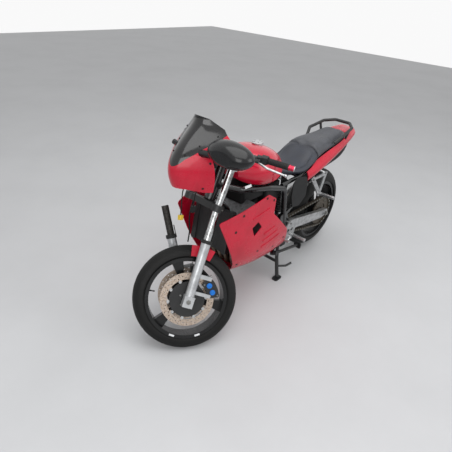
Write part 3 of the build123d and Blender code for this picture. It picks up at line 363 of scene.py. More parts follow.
def blue_faced(name, outward):
    """A black caliper with blue anodising on what stands past its body."""
    face = wheel_centre + outward * mm(caliper_outside)
    return surfaced(name, [SATIN_BLACK, (beyond(face, outward), BLUE_ALLOY)])


def disc_finish(name, centre, direction, carrier):
    """Ground stainless with a rusty bloom, on a black carrier."""
    return surfaced(name, [SATIN_BLACK, (off_axis(centre, direction, carrier), DISC_STEEL)])


def tyre_rubber(name, centre, direction, half, count):
    """Black tyre rubber with slanted rain grooves cut into the tread."""
    material, tree, shader, place = new_material(name)
    look = finish(tree, place, "#0A0A0A", "#121211", 0.0, 0.62, 60, 1.2, 0.05)
    first = direction.orthogonal().normalized()
    second = direction.cross(first)
    away = node(tree, "VectorMath", {0: place, 1: centre}, operation="SUBTRACT").outputs["Vector"]
    parts = [node(tree, "VectorMath", {0: away, 1: line}, operation="DOT_PRODUCT").outputs["Value"]
             for line in (first, second, direction)]
    turn = node(tree, "Math", {0: parts[1], 1: parts[0]}, operation="ARCTAN2").outputs["Value"]
    across = node(tree, "Math", {0: parts[2]}, operation="ABSOLUTE").outputs["Value"]
    slant = node(tree, "Math", {0: across, 1: 34.0, 2: turn}, operation="MULTIPLY_ADD").outputs["Value"]
    cycle = node(tree, "Math", {0: slant, 1: count / tau}, operation="MULTIPLY").outputs["Value"]
    saw = node(tree, "Math", {0: cycle}, operation="FRACT").outputs["Value"]
    ramp = node(tree, "MapRange", {"Value": saw, "From Min": 0.10, "From Max": 0.16}).outputs["Result"]
    inside = node(tree, "MapRange", {"Value": across, "From Min": mm(half - 6), "From Max": mm(half - 10)})
    middle = node(tree, "MapRange", {"Value": across, "From Min": mm(5), "From Max": mm(7)})
    tread = node(tree, "Math", {0: inside.outputs["Result"], 1: middle.outputs["Result"]},
                 operation="MULTIPLY")
    cut = node(tree, "Mix", {0: tread.outputs["Value"], 2: 1.0, 3: ramp}).outputs[0]
    depth = node(tree, "Math", {0: cut, 1: mm(3.5), 2: look["height"]}, operation="MULTIPLY_ADD")
    bump = node(tree, "Bump", {"Height": depth.outputs["Value"], "Strength": 1.0, "Distance": 1.0})
    # painted shade: the rain grooves take a darker colour, #070707, than the rest of the rubber
    shade = node(tree, "Mix", {"Factor": cut, "A": colour("#070707")}, data_type="RGBA")
    tree.links.new(look["Base Color"], shade.inputs[7])
    tree.links.new(shade.outputs[2], shader.inputs["Base Color"])
    tree.links.new(look["Roughness"], shader.inputs["Roughness"])
    tree.links.new(bump.outputs["Normal"], shader.inputs["Normal"])
    shader.inputs["Specular IOR Level"].default_value = 0.25
    return material


def finned_black(name, pitch):
    """A radiator core: black fins pitch mm apart between its tubes."""
    material, tree, shader, place = new_material(name)
    look = finish(tree, place, *SATIN_BLACK)
    parts = node(tree, "SeparateXYZ", {"Vector": place})
    wave = node(tree, "Math", {0: parts.outputs["Y"], 1: tau * 1000 / pitch}, operation="MULTIPLY")
    rows = node(tree, "Math", {0: parts.outputs["Z"], 1: tau * 1000 / (pitch * 2.2)}, operation="MULTIPLY")
    fins = node(tree, "Math", {0: wave.outputs["Value"]}, operation="SINE")
    tubes = node(tree, "Math", {0: rows.outputs["Value"]}, operation="SINE")
    both = node(tree, "Math", {0: fins.outputs["Value"], 1: tubes.outputs["Value"]}, operation="MULTIPLY")
    height = node(tree, "Math", {0: both.outputs["Value"], 1: mm(0.8)}, operation="MULTIPLY")
    bump = node(tree, "Bump", {"Height": height.outputs["Value"], "Strength": 1.0, "Distance": 1.0})
    for socket in ("Base Color", "Roughness"):
        tree.links.new(look[socket], shader.inputs[socket])
    tree.links.new(bump.outputs["Normal"], shader.inputs["Normal"])
    return material


def smoked_acrylic(name):
    """Dark tinted acrylic with long hairline scratches."""
    material, tree, shader, place = new_material(name)
    look = finish(tree, place, *SMOKED)
    lie = node(tree, "Mapping", {"Vector": place, "Rotation": (0.5, 0.4, 0.9), "Scale": (160, 6, 6)})
    hair = node(tree, "TexNoise", {"Vector": lie.outputs["Vector"], "Scale": 5.0, "Detail": 5.0})
    line = node(tree, "MapRange", {"Value": hair.outputs["Fac"], "From Min": 0.66, "From Max": 0.80,
                                  "To Max": 0.5})
    tint = node(tree, "Mix", {"Factor": line.outputs["Result"], "B": colour("#5C5B5A")}, data_type="RGBA")
    tree.links.new(look["Base Color"], tint.inputs[6])
    tree.links.new(tint.outputs[2], shader.inputs["Base Color"])
    dull = node(tree, "MapRange", {"Value": line.outputs["Result"], "To Min": 0.12, "To Max": 0.55})
    tree.links.new(dull.outputs["Result"], shader.inputs["Roughness"])
    shader.inputs["Transmission Weight"].default_value = 0.2
    shader.inputs["Coat Weight"].default_value = 0.2
    return material


def vinyl(name, base, worn):
    """Seat vinyl: a pebbled grain about 1.5 mm across, drawn coarse enough to show."""
    material, tree, shader, place = new_material(name)
    look = finish(tree, place, base, worn, 0.0, 0.46, 70, 4.0, 0.05)
    pebble = node(tree, "TexVoronoi", {"Vector": place, "Scale": 1000 / 2.2}, feature="F1")
    height = node(tree, "Math", {0: pebble.outputs["Distance"], 1: mm(0.35), 2: look["height"]},
                  operation="MULTIPLY_ADD")
    bump = node(tree, "Bump", {"Height": height.outputs["Value"], "Strength": 1.0, "Distance": 1.0})
    for socket in ("Base Color", "Roughness"):
        tree.links.new(look[socket], shader.inputs[socket])
    tree.links.new(bump.outputs["Normal"], shader.inputs["Normal"])
    return material


dial_marks = 36


def dial_finish(name, centre, direction):
    """A dark dial with white marks round its edge."""
    material, tree, shader, place = new_material(name)
    look = finish(tree, place, "#15171A", "#1B1D20", 0.0, 0.35, 20, 1.0, 0.001)
    rise = direction.cross(left)
    away = node(tree, "VectorMath", {0: place, 1: centre}, operation="SUBTRACT").outputs["Vector"]
    parts = [node(tree, "VectorMath", {0: away, 1: line}, operation="DOT_PRODUCT").outputs["Value"]
             for line in (left, rise)]
    reach = node(tree, "VectorMath", {0: away}, operation="LENGTH").outputs["Value"]
    turn = node(tree, "Math", {0: parts[1], 1: parts[0]}, operation="ARCTAN2").outputs["Value"]
    steps = node(tree, "Math", {0: turn, 1: dial_marks / tau}, operation="MULTIPLY").outputs["Value"]
    saw = node(tree, "Math", {0: steps}, operation="FRACT").outputs["Value"]
    mark = node(tree, "MapRange", {"Value": saw, "From Min": 0.20, "From Max": 0.16}).outputs["Result"]
    outer = step_up(tree, reach, mm(29), mm(0.6))
    edge = node(tree, "Math", {0: mark, 1: outer}, operation="MULTIPLY").outputs["Value"]
    tint = node(tree, "Mix", {"Factor": edge}, data_type="RGBA")
    tree.links.new(look["Base Color"], tint.inputs[6])
    tint.inputs[7].default_value = colour("#E4E4E2")
    tree.links.new(tint.outputs[2], shader.inputs["Base Color"])
    tree.links.new(look["Roughness"], shader.inputs["Roughness"])
    return material


rider_vinyl = vinyl("blue_black_vinyl", "#22252E", "#2C303A")
pillion_vinyl = vinyl("grey_black_vinyl", "#3A3C41", "#484A50")
blue_dye = surfaced("blue_anodised_aluminium", [BLUE_ALLOY])
red_switch = surfaced("red_switch_plastic", [("#A3141C", "#8C1118", 0.0, 0.35, 10, 0.8, 0.006)])
window_amber = surfaced("amber_acrylic", [("#B98A3C", "#A67B34", 0.0, 0.15, 10, 1.0, 0.002)])
needle_orange = surfaced("orange_needle_paint", [("#D9502A", "#CF4A25", 0.0, 0.45, 10, 1.0, 0.002)])
white_foil = surfaced("white_foil", [("#D9DADC", "#C4C5C7", 0.0, 0.4, 8, 0.8, 0.006)])
mirror_silver = surfaced("mirror_glass", [("#C9CCCF", "#BFC3C7", 1.0, 0.06, 60, 2.0, 0.0005)])
screen_acrylic = smoked_acrylic("smoked_acrylic")
rim_black = surfaced("black_wheel_lacquer", [GLOSS_BLACK], Specular_IOR_Level=0.35)


def control_finish(name, sign):
    """Black switchgear with a polished lever ahead of it."""
    inner, outer = grip_ends(sign)
    along = (outer - inner).normalized()
    ahead = (up.cross(along) * -sign).normalized()
    lever = beyond(inner - along * mm(42) + ahead * mm(50), ahead)
    return surfaced(name, [MOULDED_BLACK, (lever, BARE_ALLOY)])


dressing = {
    "frame": black_enamel, "engine_crankcase": cast_alloy, "cylinder_block": cast_alloy,
    "exhaust": exhaust_metal,
    "radiator": finned_black("radiator_core", 3.2), "airbox": black_moulding, "fuel_tank": red_enamel,
    "filler_cap": silver_lacquer, "tail_cowl": red_plastic, "tail_lamp": lamp_red, "grab_rail": black_powder,
    "side_panel_left": black_moulding, "side_panel_right": black_moulding, "rear_mudguard": black_moulding,
    "swingarm": swingarm_alloy, "shock": black_powder, "rear_rim": rim_black,
    "rear_tyre": tyre_rubber("rear_tyre_rubber", rear_axle, left, 80, 26),
    "rear_disc": disc_finish("rear_disc_steel", rear_axle, left, disc_carrier_rear),
    "rear_sprocket": drive_steel, "chain": drive_steel, "rear_caliper": black_powder,
    "footrest_left": bare_alloy, "footrest_right": bare_alloy, "peg_bracket_left": bare_alloy,
    "peg_bracket_right": bare_alloy, "centre_stand": black_powder, "side_stand": black_powder,
    "upper_fairing": red_plastic, "screen": screen_acrylic, "fairing_left": red_plastic,
    "fairing_right": red_plastic, "belly_pan": red_plastic, "instruments": black_moulding,
    "mirror_left": black_gloss, "mirror_right": black_gloss, "lower_yoke": black_powder,
    "upper_yoke": upper_yoke_alloy, "handlebar": bar_finish,
    "controls_left": control_finish("left_control_finish", 1),
    "controls_right": control_finish("right_control_finish", -1),
    "stanchion_left": fork_chrome, "stanchion_right": torn_steel,
    "slider_left": collared("slider_left_lacquer", left_foot, leg_up),
    "slider_right": collared("slider_right_lacquer", right_foot, right_up),
    "front_axle": bolt_steel, "front_rim": rim_black,
    "front_tyre": tyre_rubber("front_tyre_rubber", wheel_centre, axle, 55, 30),
    "front_disc_left": disc_finish("front_disc_left_steel", wheel_centre, axle, disc_carrier_front),
    "front_disc_right": disc_finish("front_disc_right_steel", wheel_centre, axle, disc_carrier_front),
    "caliper_left": blue_faced("black_caliper_left", axle),
    "caliper_right": blue_faced("black_caliper_right", -axle),
    "mudguard_remnant": red_plastic, "yellow_plug": yellow_plastic, "black_plug": black_moulding,
}
for name, material in dressing.items():
    nodes[name].data.materials.clear()
    nodes[name].data.materials.append(material)


# ---------------------------------------------------------------- cords
def round_line(name, points, radius, round_steps, long_steps):
    """A round line on one smooth curve through its control points, still a curve."""
    line = bpy.data.curves.new(name, "CURVE")
    line.dimensions = "3D"
    line.bevel_depth = mm(radius)
    line.bevel_resolution = round_steps
    line.resolution_u = long_steps
    line.use_fill_caps = True
    spline = line.splines.new("NURBS")
    spline.points.add(len(points) - 1)
    for control, place in zip(spline.points, points):
        control.co = (*place, 1.0)
    spline.order_u = 3
    spline.use_endpoint_u = True
    made = bpy.data.objects.new(name, line)
    bpy.context.collection.objects.link(made)
    return made


def meshed(line):
    """Turns a curve into its mesh."""
    pick_only(line)
    bpy.ops.object.convert(target="MESH")
    return bpy.context.object


def cord_piece(name, points, radius, cad_node, body):
    """A hanging cord that stands for its CAD node."""
    made = round_line(name, points, radius, 4, 10)
    deselect()
    finished(made, body, rubber)
    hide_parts(cad_node)
    return made


cord_piece("brake_hose_line", [steer_at(-66, -48, -17.5), steer_at(-66, -48, -66), at(1252, -62, 646),
                               at(1250, -56, 590), at(1258, -52, 546), at(1264, -54, 506)],
           4.0, "brake_hose", "steering")
cord_piece("loom_line", [at(1242.2, -53.6, 928.4), at(1281.1, -42.1, 911.8), at(1330, -36, 868),
                         at(1356, -14, 810), at(1376, 2, 746)],
           3.0, "loom_cable", "chassis")
cord_piece("plug_line", [at(1242.2, 53.6, 928.4), at(1281.1, 42.1, 911.8), at(1314, 38, 862),
                         at(1322, 40, 796)],
           3.0, "plug_cable", "chassis")


# ---------------------------------------------------------------- seats
cloth_frames = 20


def seat_pad(name, cad_node, material, swell):
    """The CAD block as a stuffed cover: remeshed, blown up as cloth and held within swell mm."""
    source = nodes[cad_node]
    pad = bpy.data.objects.new(name, source.data.copy())
    bpy.context.collection.objects.link(pad)
    pick_only(pad)
    pad.data.materials.clear()
    with_modifier(pad, "WELD", merge_threshold=mm(0.05))
    centre = sum((Vector(corner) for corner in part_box(cad_node)), Vector()) / 2
    shrink = Matrix.Diagonal((0.985, 0.97, 0.95, 1))
    pad.data.transform(Matrix.Translation(centre) @ shrink @ Matrix.Translation(-centre))
    with_modifier(pad, "REMESH", mode="VOXEL", voxel_size=mm(6))
    rest = [v.co.copy() for v in pad.data.vertices]
    cloth = pad.modifiers.new("Cloth", "CLOTH")
    cloth.settings.use_pressure = True
    cloth.settings.uniform_pressure_force = 4
    cloth.settings.effector_weights.gravity = 0
    cloth.point_cache.frame_start = 1
    cloth.point_cache.frame_end = cloth_frames
    for step in range(1, cloth_frames + 1):
        bpy.context.scene.frame_set(step)
    pick_only(pad)
    bpy.ops.object.modifier_apply(modifier=cloth.name)
    bpy.context.scene.frame_set(1)
    for vertex, before in zip(pad.data.vertices, rest):
        moved = vertex.co - before
        if moved.length > mm(swell):
            vertex.co = before + moved.normalized() * mm(swell)
    with_modifier(pad, "SMOOTH", factor=0.5, iterations=6)
    smooth(pad, 60)
    finished(pad, "chassis", material)
    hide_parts(cad_node)
    return pad


def piping(name, pad, stations, radius, material):
    """A cord of vinyl sewn along the pad: each station is dropped onto the pad's surface."""
    points = []
    for place in stations:
        _, spot, normal, _ = pad.closest_point_on_mesh(place)
        points.append(spot + normal * mm(0.4))
    return finished(meshed(round_line(name, points, radius, 3, 12)), "chassis", material)


rider_pad = seat_pad("rider_seat_cover", "seat_rider", rider_vinyl, 7)
pillion_pad = seat_pad("pillion_seat_cover", "seat_pillion", pillion_vinyl, 7)
rider_seam = ((606, 44, 838), (560, 70, 824), (500, 98, 812), (430, 118, 806), (360, 122, 824),
              (305, 116, 866))
pillion_seam = ((250, 112, 902), (180, 112, 904), (80, 104, 908), (-20, 98, 914), (-120, 90, 918),
                (-180, 74, 914))
for sign, side in sides:
    piping("rider_piping_" + side, rider_pad, [at(x, sign * y, z) for x, y, z in rider_seam], 2.2,
           rider_vinyl)
    piping("pillion_piping_" + side, pillion_pad, [at(x, sign * y, z) for x, y, z in pillion_seam], 2.0,
           pillion_vinyl)


# ---------------------------------------------------------------- turned and boxed fittings
def turned(profile, segments=32, angle=30):
    """A turned piece standing on its own +Z: each step of the profile is (radius, height), in mm."""
    deselect()
    radius, height = profile[0]
    bpy.ops.mesh.primitive_circle_add(vertices=segments, radius=mm(radius), fill_type="NGON",
                                      location=(0, 0, mm(height)))
    piece = settle(bpy.context.object)
    bpy.ops.object.mode_set(mode="EDIT")
    bpy.ops.mesh.select_all(action="SELECT")
    for (before, low), (after, high) in zip(profile, profile[1:]):
        bpy.ops.mesh.extrude_region_move(TRANSFORM_OT_translate={"value": (0, 0, mm(high - low))})
        share = after / before
        bpy.ops.transform.resize(value=(share, share, 1), center_override=(0, 0, mm(high)))
    bpy.ops.mesh.select_all(action="SELECT")
    bpy.ops.mesh.normals_make_consistent(inside=False)
    bpy.ops.object.mode_set(mode="OBJECT")
    return smooth(piece, angle)


def block(wide, deep, tall, edge, segments=2):
    """A block with rounded edges standing on its own +Z, sizes in mm."""
    deselect()
    bpy.ops.mesh.primitive_cube_add(size=1, location=(0, 0, mm(tall / 2)),
                                    scale=(mm(wide), mm(deep), mm(tall)))
    piece = settle(bpy.context.object)
    bpy.ops.object.mode_set(mode="EDIT")
    bpy.ops.mesh.select_all(action="SELECT")
    bpy.ops.mesh.bevel(offset=mm(edge), segments=segments)
    bpy.ops.object.mode_set(mode="OBJECT")
    return smooth(piece, 40)


def placed(template, matrices, name, body, material):
    """Copies of one template, joined as one piece on a body."""
    return finished(copies(template, matrices, name), body, material)


def oval(template, wide, tall):
    """Scales a turned piece across, so that its circle becomes an oval."""
    template.data.transform(Matrix.Diagonal((wide, tall, 1, 1)))
    return template


def framed(place, x_line, z_line):
    """The matrix whose +X and +Z run along the two lines at place."""
    z_line = Vector(z_line).normalized()
    x_line = (Vector(x_line) - z_line * Vector(x_line).dot(z_line)).normalized()
    y_line = z_line.cross(x_line)
    made = Matrix((x_line, y_line, z_line)).transposed().to_4x4()
    return Matrix.Translation(place) @ made


def on_skin(cad_node, start, direction):
    """Where a line from start meets a CAD node, with the surface's outward direction."""
    _, spot, normal, _ = nodes[cad_node].ray_cast(start, Vector(direction).normalized())
    return spot, (normal if normal.dot(direction) < 0 else -normal)


# ---------------------------------------------------------------- bolts
def bolt_head():
    """A cap screw's head, one metre in radius, with its hexagon socket."""
    head = turned([(1000, 0), (1000, 780), (880, 900), (560, 900)], 18, 40)
    edit_faces(head, lambda face: face.normal.z > 0.99 and face.center.length > 0.85,
               lambda: bpy.ops.mesh.extrude_region_move(TRANSFORM_OT_translate={"value": (0, 0, -0.5)}))
    return settle(head)


def bolts(name, body, radius, places, material=bolt_steel):
    """Cap screws of one size on one body; places are (point, direction) pairs."""
    scale = Matrix.Scale(mm(radius), 4)
    return placed(bolt_head(), [facing(point, direction) @ scale for point, direction in places], name, body,
                  material)


def on_circle(centre, axis, radius, count, start=0.0):
    """Places round an axis, all facing along it."""
    first = Vector(axis).orthogonal().normalized()
    turns = [Quaternion(axis, start + tau * k / count) for k in range(count)]
    return [(centre + turn @ first * mm(radius), axis) for turn in turns]


disc_face = mm(68)
for sign, side in sides:
    hub = wheel_centre + axle * sign * disc_face
    bolts("disc_bolts_" + side, "front_wheel", 5, on_circle(hub, axle * sign, 44, 5))
    bobbin = turned([(8.5, 0), (8.5, 1.6), (7.6, 2.2), (4.5, 2.2), (3.6, 1.2)], 20)
    placed(bobbin, [facing(point, way) for point, way in on_circle(hub, axle * sign, 105, 10)],
           "bobbins_" + side, "front_wheel", bare_alloy)
    cap = turned([(22, 0), (22, 3), (19, 5), (12, 5), (11, 3.5)], 28)
    placed(cap, [facing(hub, axle * sign)], "bearing_seal_" + side, "front_wheel", rubber)
bolts("rear_disc_bolts", "rear_wheel", 5, on_circle(rear_axle - left * mm(74), -left, 50, 5))
bolts("sprocket_bolts", "rear_wheel", 6, on_circle(rear_axle + left * mm(96.2), left, 82, 5))
bolts("cover_bolts_left", "chassis", 4.5, on_circle(at(905, cover_face, 400), left, 66, 8)
      + on_circle(at(730, cover_face, 400), left, 55, 7))
bolts("cover_bolts_right", "chassis", 4.5, on_circle(at(905, -cover_face, 400), -left, 66, 8)
      + on_circle(at(730, -cover_face, 400), -left, 76, 9))
bolts("cap_screws", "filler_cap", 2.4, on_circle(at(772, 0, 1020.9), up, 24, 5))

# raised centres of the crankcase covers, with a step round each
for sign, side in sides:
    dome = turned([(58, 0), (58, 3), (54, 6), (30, 6), (28, 8), (12, 8)], 48)
    placed(dome, [facing(at(905, sign * cover_face, 400), left * sign)], "generator_cover_" + side,
           "chassis", cast_alloy)
    cover = turned([(46, 0), (46, 3), (42, 6), (20, 6), (18, 8), (8, 8)], 48)
    placed(cover, [facing(at(730, sign * cover_face, 400), left * sign)], "sprocket_cover_" + side,
           "chassis", cast_alloy)

# ---------------------------------------------------------------- yokes, bar and controls
riser_cap = block(24, 38, 15, 4)
placed(riser_cap, [framed(steer_at(sign * 46, 7, 280), left, steer_up) for sign in (1, -1)], "bar_clamp_caps",
       "steering", bare_alloy)
bolts("bar_clamp_bolts", "steering", 4, [(steer_at(sign * 46, 7 + step, 294.6), steer_up)
                                         for sign in (1, -1) for step in (-14, 14)])
stem_nut = turned([(20, 0), (20, 3), (16.5, 3), (16.5, 13), (14.5, 15), (9, 15), (8, 12)], 6, 20)
placed(stem_nut, [facing(steer_at(0, 0, 254.2), steer_up)], "stem_nut", "steering", bolt_steel)
bolts("pinch_bolts", "steering", 4.6, [(steer_at(sign * 136, -fork_ahead, height), left * sign)
                                       for sign in (1, -1) for height in (1, 231)])
fork_cap = turned([(11, 0), (11, 4), (9, 6), (5, 6), (4, 4)], 24)
placed(fork_cap, [facing(steer_at(fork_spread, -fork_ahead, 262), steer_up)], "fork_adjuster", "steering",
       bare_alloy)

for sign, side in sides:
    inner, outer = grip_ends(sign)
    along = (outer - inner).normalized()
    ahead = (up.cross(along) * -sign).normalized()
    rib = turned([(16.2, -1.6), (17.6, -0.9), (17.6, 0.9), (16.2, 1.6)], 32)
    placed(rib, [facing(inner + along * mm(16 + 8.4 * k), along) for k in range(12)], "grip_ribs_" + side,
           "steering", rubber)
    flange = turned([(17, -2), (21, -1.5), (21, 1.5), (17, 2)], 32)
    placed(flange, [facing(inner + along * mm(9), along)], "grip_flange_" + side, "steering", rubber)
    ring = turned([(14.2, -1), (15.0, -0.4), (15.0, 1.6), (14.2, 2.2)], 28)
    placed(ring, [facing(outer + along * mm(20), along)], "bar_end_ring_" + side, "steering", bare_alloy)
    start = inner - along * mm(42)
    switch = block(11, 7, 4, 1.5)
    rocker = [framed(start + along * mm(31 + 9 * k) - ahead * mm(17.5) + up * mm(4 - 7 * k), along, -ahead)
              for k in (-1, 0, 1)]
    placed(switch, rocker, "switches_" + side, "steering", bare_alloy if sign > 0 else red_switch)
    perch = start + ahead * mm(34) + up * mm(4.6)
    bolts("perch_bolts_" + side, "steering", 3, [(perch + along * mm(step), up) for step in (2, 10.4)])
lid = turned([(25.5, 0), (25.5, 4), (23.5, 6.5), (8, 6.5)], 36)
placed(lid, [Matrix.Translation(bar_at(-8, -190, 75))], "reservoir_lid", "steering", black_moulding)
bolts("reservoir_screws", "steering", 2.4, on_circle(bar_at(-8, -190, 81), up, 17, 3))
band = turned([(24.3, 0), (24.3, 8)], 36)
placed(band, [Matrix.Translation(bar_at(-8, -190, 54))], "reservoir_window", "steering", window_amber)

# ---------------------------------------------------------------- instruments
dash_up = Vector((-cos(radians(35)), 0, sin(radians(35))))
dash = at(1222, 0, 1072)
for number, side in enumerate((58, -58)):
    centre = dash + left * mm(side) + dash_up * mm(14)
    face = turned([(38.6, 0.2), (38.6, 1.2), (37.6, 1.6)], 48)
    placed(face, [framed(centre, left, dash_up)], "dial_face_%d" % number, "chassis",
           dial_finish("dial_paint_%d" % number, centre, dash_up))
    needle = block(30, 1.8, 1.0, 0.3, 1)
    needle.data.transform(Matrix.Translation((mm(12), 0, 0)))
    sweep = Quaternion(dash_up, radians(-145 + 10 * number)) @ left
    placed(needle, [framed(centre + dash_up * mm(3), sweep, dash_up)], "needle_%d" % number, "chassis",
           needle_orange)
    cap = turned([(4.6, 1.4), (4.6, 4.6), (3.8, 5.4)], 20)
    placed(cap, [framed(centre, left, dash_up)], "needle_cap_%d" % number, "chassis", black_moulding)
light = turned([(3.2, 0), (3.2, 1.0), (2.2, 1.6)], 16)
light_row = dash + dash_up * mm(14) + dash_up.cross(left) * mm(26)
placed(light, [framed(light_row + left * mm(9 * k), left, dash_up) for k in (-1, 0, 1)], "tell_tales",
       "chassis", window_amber)

# ---------------------------------------------------------------- mirror
mirror_middle = at(1330, 262, 1148)
glass = oval(turned([(50, 0), (50, 1.0), (49, 1.6)], 48), 2.2, 0.94)
placed(glass, [framed(mirror_middle - forward * mm(38.2), left, -forward)], "mirror_glass", "chassis",
       mirror_silver)
rim = oval(turned([(54.5, 0), (54.5, 2.2), (53, 3.0), (51.5, 3.0), (51.0, 0.4)], 48), 2.2, 0.98)
placed(rim, [framed(mirror_middle - forward * mm(38), left, -forward)], "mirror_lip", "chassis",
       black_moulding)

# ---------------------------------------------------------------- fairing fasteners
def seated(cad_node, spots, signs, far_out, sunk):
    """Places on a panel's skin, found from far_out mm to the side and sunk by sunk mm."""
    places = []
    for sign in signs:
        for x, z in spots:
            spot, way = on_skin(cad_node, at(x, sign * far_out, z), left * -sign)
            places.append((spot - way * mm(sunk), way))
    return places


panel_spots = ((1131, 624), (1086, 716), (923, 417), (765, 383), (905, 772), (1060, 360), (842, 742),
               (660, 410))
nose_spots = ((1340, 930), (1312, 1060), (1240, 1150))
screen_spots = ((1392, 1092), (1326, 1132), (1240, 1172))
for sign, side in sides:
    washer = turned([(8, 0), (8, 1.0), (7, 1.6), (4, 1.6), (3.4, 0.8)], 24)
    places = seated("fairing_" + side, panel_spots, (sign,), 420, 0.4)
    placed(washer, [facing(point, way) for point, way in places], "panel_fasteners_" + side, "chassis",
           black_moulding)
places = seated("upper_fairing", nose_spots, (1, -1), 300, 0.4)
placed(turned([(6, 0), (6, 1.2), (5, 1.8), (3, 1.8), (2.4, 0.9)], 20),
       [facing(point, way) for point, way in places], "nose_fasteners", "chassis", black_moulding)
bolts("screen_screws", "chassis", 4.2, seated("screen", screen_spots, (1, -1), 300, 0.3), black_moulding)

# ---------------------------------------------------------------- front wheel: balance patches and valve
down = (forward * 0.22 - up).normalized()
down = (down - axle * down.dot(axle)).normalized()
for turn, name in ((0.0, "a"), (38.0, "b")):
    way = Quaternion(axle, radians(turn - 14)) @ down
    patch = block(30, 11, 1.2, 0.5, 1)
    placed(patch, [framed(wheel_centre + axle * mm(51.0) + way * mm(219), axle.cross(way), axle)],
           "rim_patch_" + name, "front_wheel", white_foil)
valve_profile = [(4.4, 0), (4.4, 14), (3.2, 16), (3.2, 26), (4.0, 26), (4.0, 33), (3.2, 34)]
valve_seat = mm(209)
spoke_gap = Quaternion(axle, radians(95)) @ (leg_up - axle * leg_up.dot(axle)).normalized()
rear_gap = Vector((cos(1.2), 0, sin(1.2)))
placed(turned(valve_profile, 16), [facing(wheel_centre + spoke_gap * valve_seat, -spoke_gap)], "front_valve",
       "front_wheel", rubber)
placed(turned(valve_profile, 16), [facing(rear_axle + rear_gap * valve_seat, -rear_gap)], "rear_valve",
       "rear_wheel", rubber)

# ---------------------------------------------------------------- calipers
def round_wheel(line, angle):
    """The direction from the front axle at an angle, in degrees, from a fork leg's line."""
    return (line * cos(radians(angle)) + axle.cross(line) * sin(radians(angle))).normalized()


for sign, side, line in ((1, "left", leg_up), (-1, "right", right_up)):
    for k, angle in enumerate((-57, -40)):
        centre = wheel_centre + round_wheel(line, angle) * mm(142) + axle * sign * mm(96.7)
        cap = turned([(12.5, 0), (12.5, 1.4), (11.5, 2.2), (7, 2.2), (6, 0.6)], 24)
        placed(cap, [facing(centre, axle * sign)], "caliper_plug_%s_%d" % (side, k), "steering", blue_dye)
    face = wheel_centre + axle * sign * mm(89.4)
    bolts("caliper_bolts_" + side, "steering", 5, [(face + round_wheel(line, angle) * mm(radius), axle * sign)
                                                   for radius in (124, 166) for angle in (-66, -31)])
    nipple = turned([(4, 0), (4, 8), (2.4, 9), (2.4, 14), (3.4, 15), (3.0, 18)], 14)
    way = round_wheel(line, -28)
    placed(nipple, [facing(wheel_centre + way * mm(170) + axle * sign * mm(76), way)], "bleed_nipple_" + side,
           "steering", bolt_steel)
for sign, side, foot, line in ((1, "left", left_foot, leg_up), (-1, "right", right_foot, right_up)):
    nut = turned([(13, 0), (13, 4), (11, 6), (7, 6), (6, 3)], 6, 20)
    placed(nut, [facing(foot + axle * sign * mm(26.2), axle * sign)], "axle_nut_" + side, "steering",
           bolt_steel)
    ahead = -axle.cross(line)
    bolts("slider_pinch_" + side, "steering", 4, [(foot - line * mm(20) + ahead * mm(28.2), ahead)])

# ---------------------------------------------------------------- chain
pitch = 15.875
teeth_rear = 47
teeth_front = 16
chain_y = 93.0
inner_plate_y = 7.6         # the plates' own faces, from the middle of the chain
outer_plate_y = 8.3
rear_r = pitch / 2 / sin(pi / teeth_rear)
front_r = pitch / 2 / sin(pi / teeth_front)
rear_spot = Vector((0.0, 330.0))
front_spot = Vector((650.0, 400.0))
span = front_spot - rear_spot
lean = atan2(span.y, span.x)
open_angle = acos((rear_r - front_r) / span.length)
upper = lean + open_angle
lower = lean - open_angle
straight = (span.length ** 2 - (rear_r - front_r) ** 2) ** 0.5
front_arc = front_r * (upper - lower)
rear_arc = rear_r * (tau - (upper - lower))
chain_total = 2 * straight + front_arc + rear_arc


def out_at(angle):
    return Vector((cos(angle), sin(angle)))


def chain_place(travel):
    """The pitch line's point and direction, travel mm from the top of the rear sprocket."""
    top_rear = rear_spot + out_at(upper) * rear_r
    top_front = front_spot + out_at(upper) * front_r
    low_front = front_spot + out_at(lower) * front_r
    low_rear = rear_spot + out_at(lower) * rear_r
    if travel < straight:
        way = (top_front - top_rear) / straight
        return top_rear + way * travel, way
    travel -= straight
    if travel < front_arc:
        angle = upper - travel / front_r
        return front_spot + out_at(angle) * front_r, Vector((sin(angle), -cos(angle)))
    travel -= front_arc
    if travel < straight:
        way = (low_rear - low_front) / straight
        return low_front + way * travel, way
    travel -= straight
    angle = lower - travel / rear_r
    return rear_spot + out_at(angle) * rear_r, Vector((sin(angle), -cos(angle)))


link_count = 2 * round(chain_total / pitch / 2)
outer_plates = []
inner_plates = []
for k in range(link_count):
    spot, way = chain_place((k + 0.5) * chain_total / link_count)
    along = Vector((way.x, 0, way.y))
    row, proud = (inner_plates, inner_plate_y) if k % 2 else (outer_plates, outer_plate_y)
    for sign in (1, -1):
        row.append(framed(at(spot.x, chain_y + sign * proud, spot.y), along, left * sign))
placed(block(14.0, 12.5, 1.3, 3.2, 2), outer_plates, "chain_plates_outer", "chassis", drive_steel)
placed(block(14.0, 11.5, 1.3, 3.0, 2), inner_plates, "chain_plates_inner", "chassis", bolt_steel)

# ---------------------------------------------------------------- swingarm and pegs
def ribbed_peg(name, peg_in, peg_out, first, radius):
    """Nine rubber ribs along a footpeg, from first mm out."""
    rib = turned([(12.2, -1.6), (radius, -0.8), (radius, 0.8), (12.2, 1.6)], 24)
    peg_way = (peg_out - peg_in).normalized()
    placed(rib, [facing(peg_in + peg_way * mm(first + 9 * k), peg_way) for k in range(9)], name, "chassis",
           rubber)


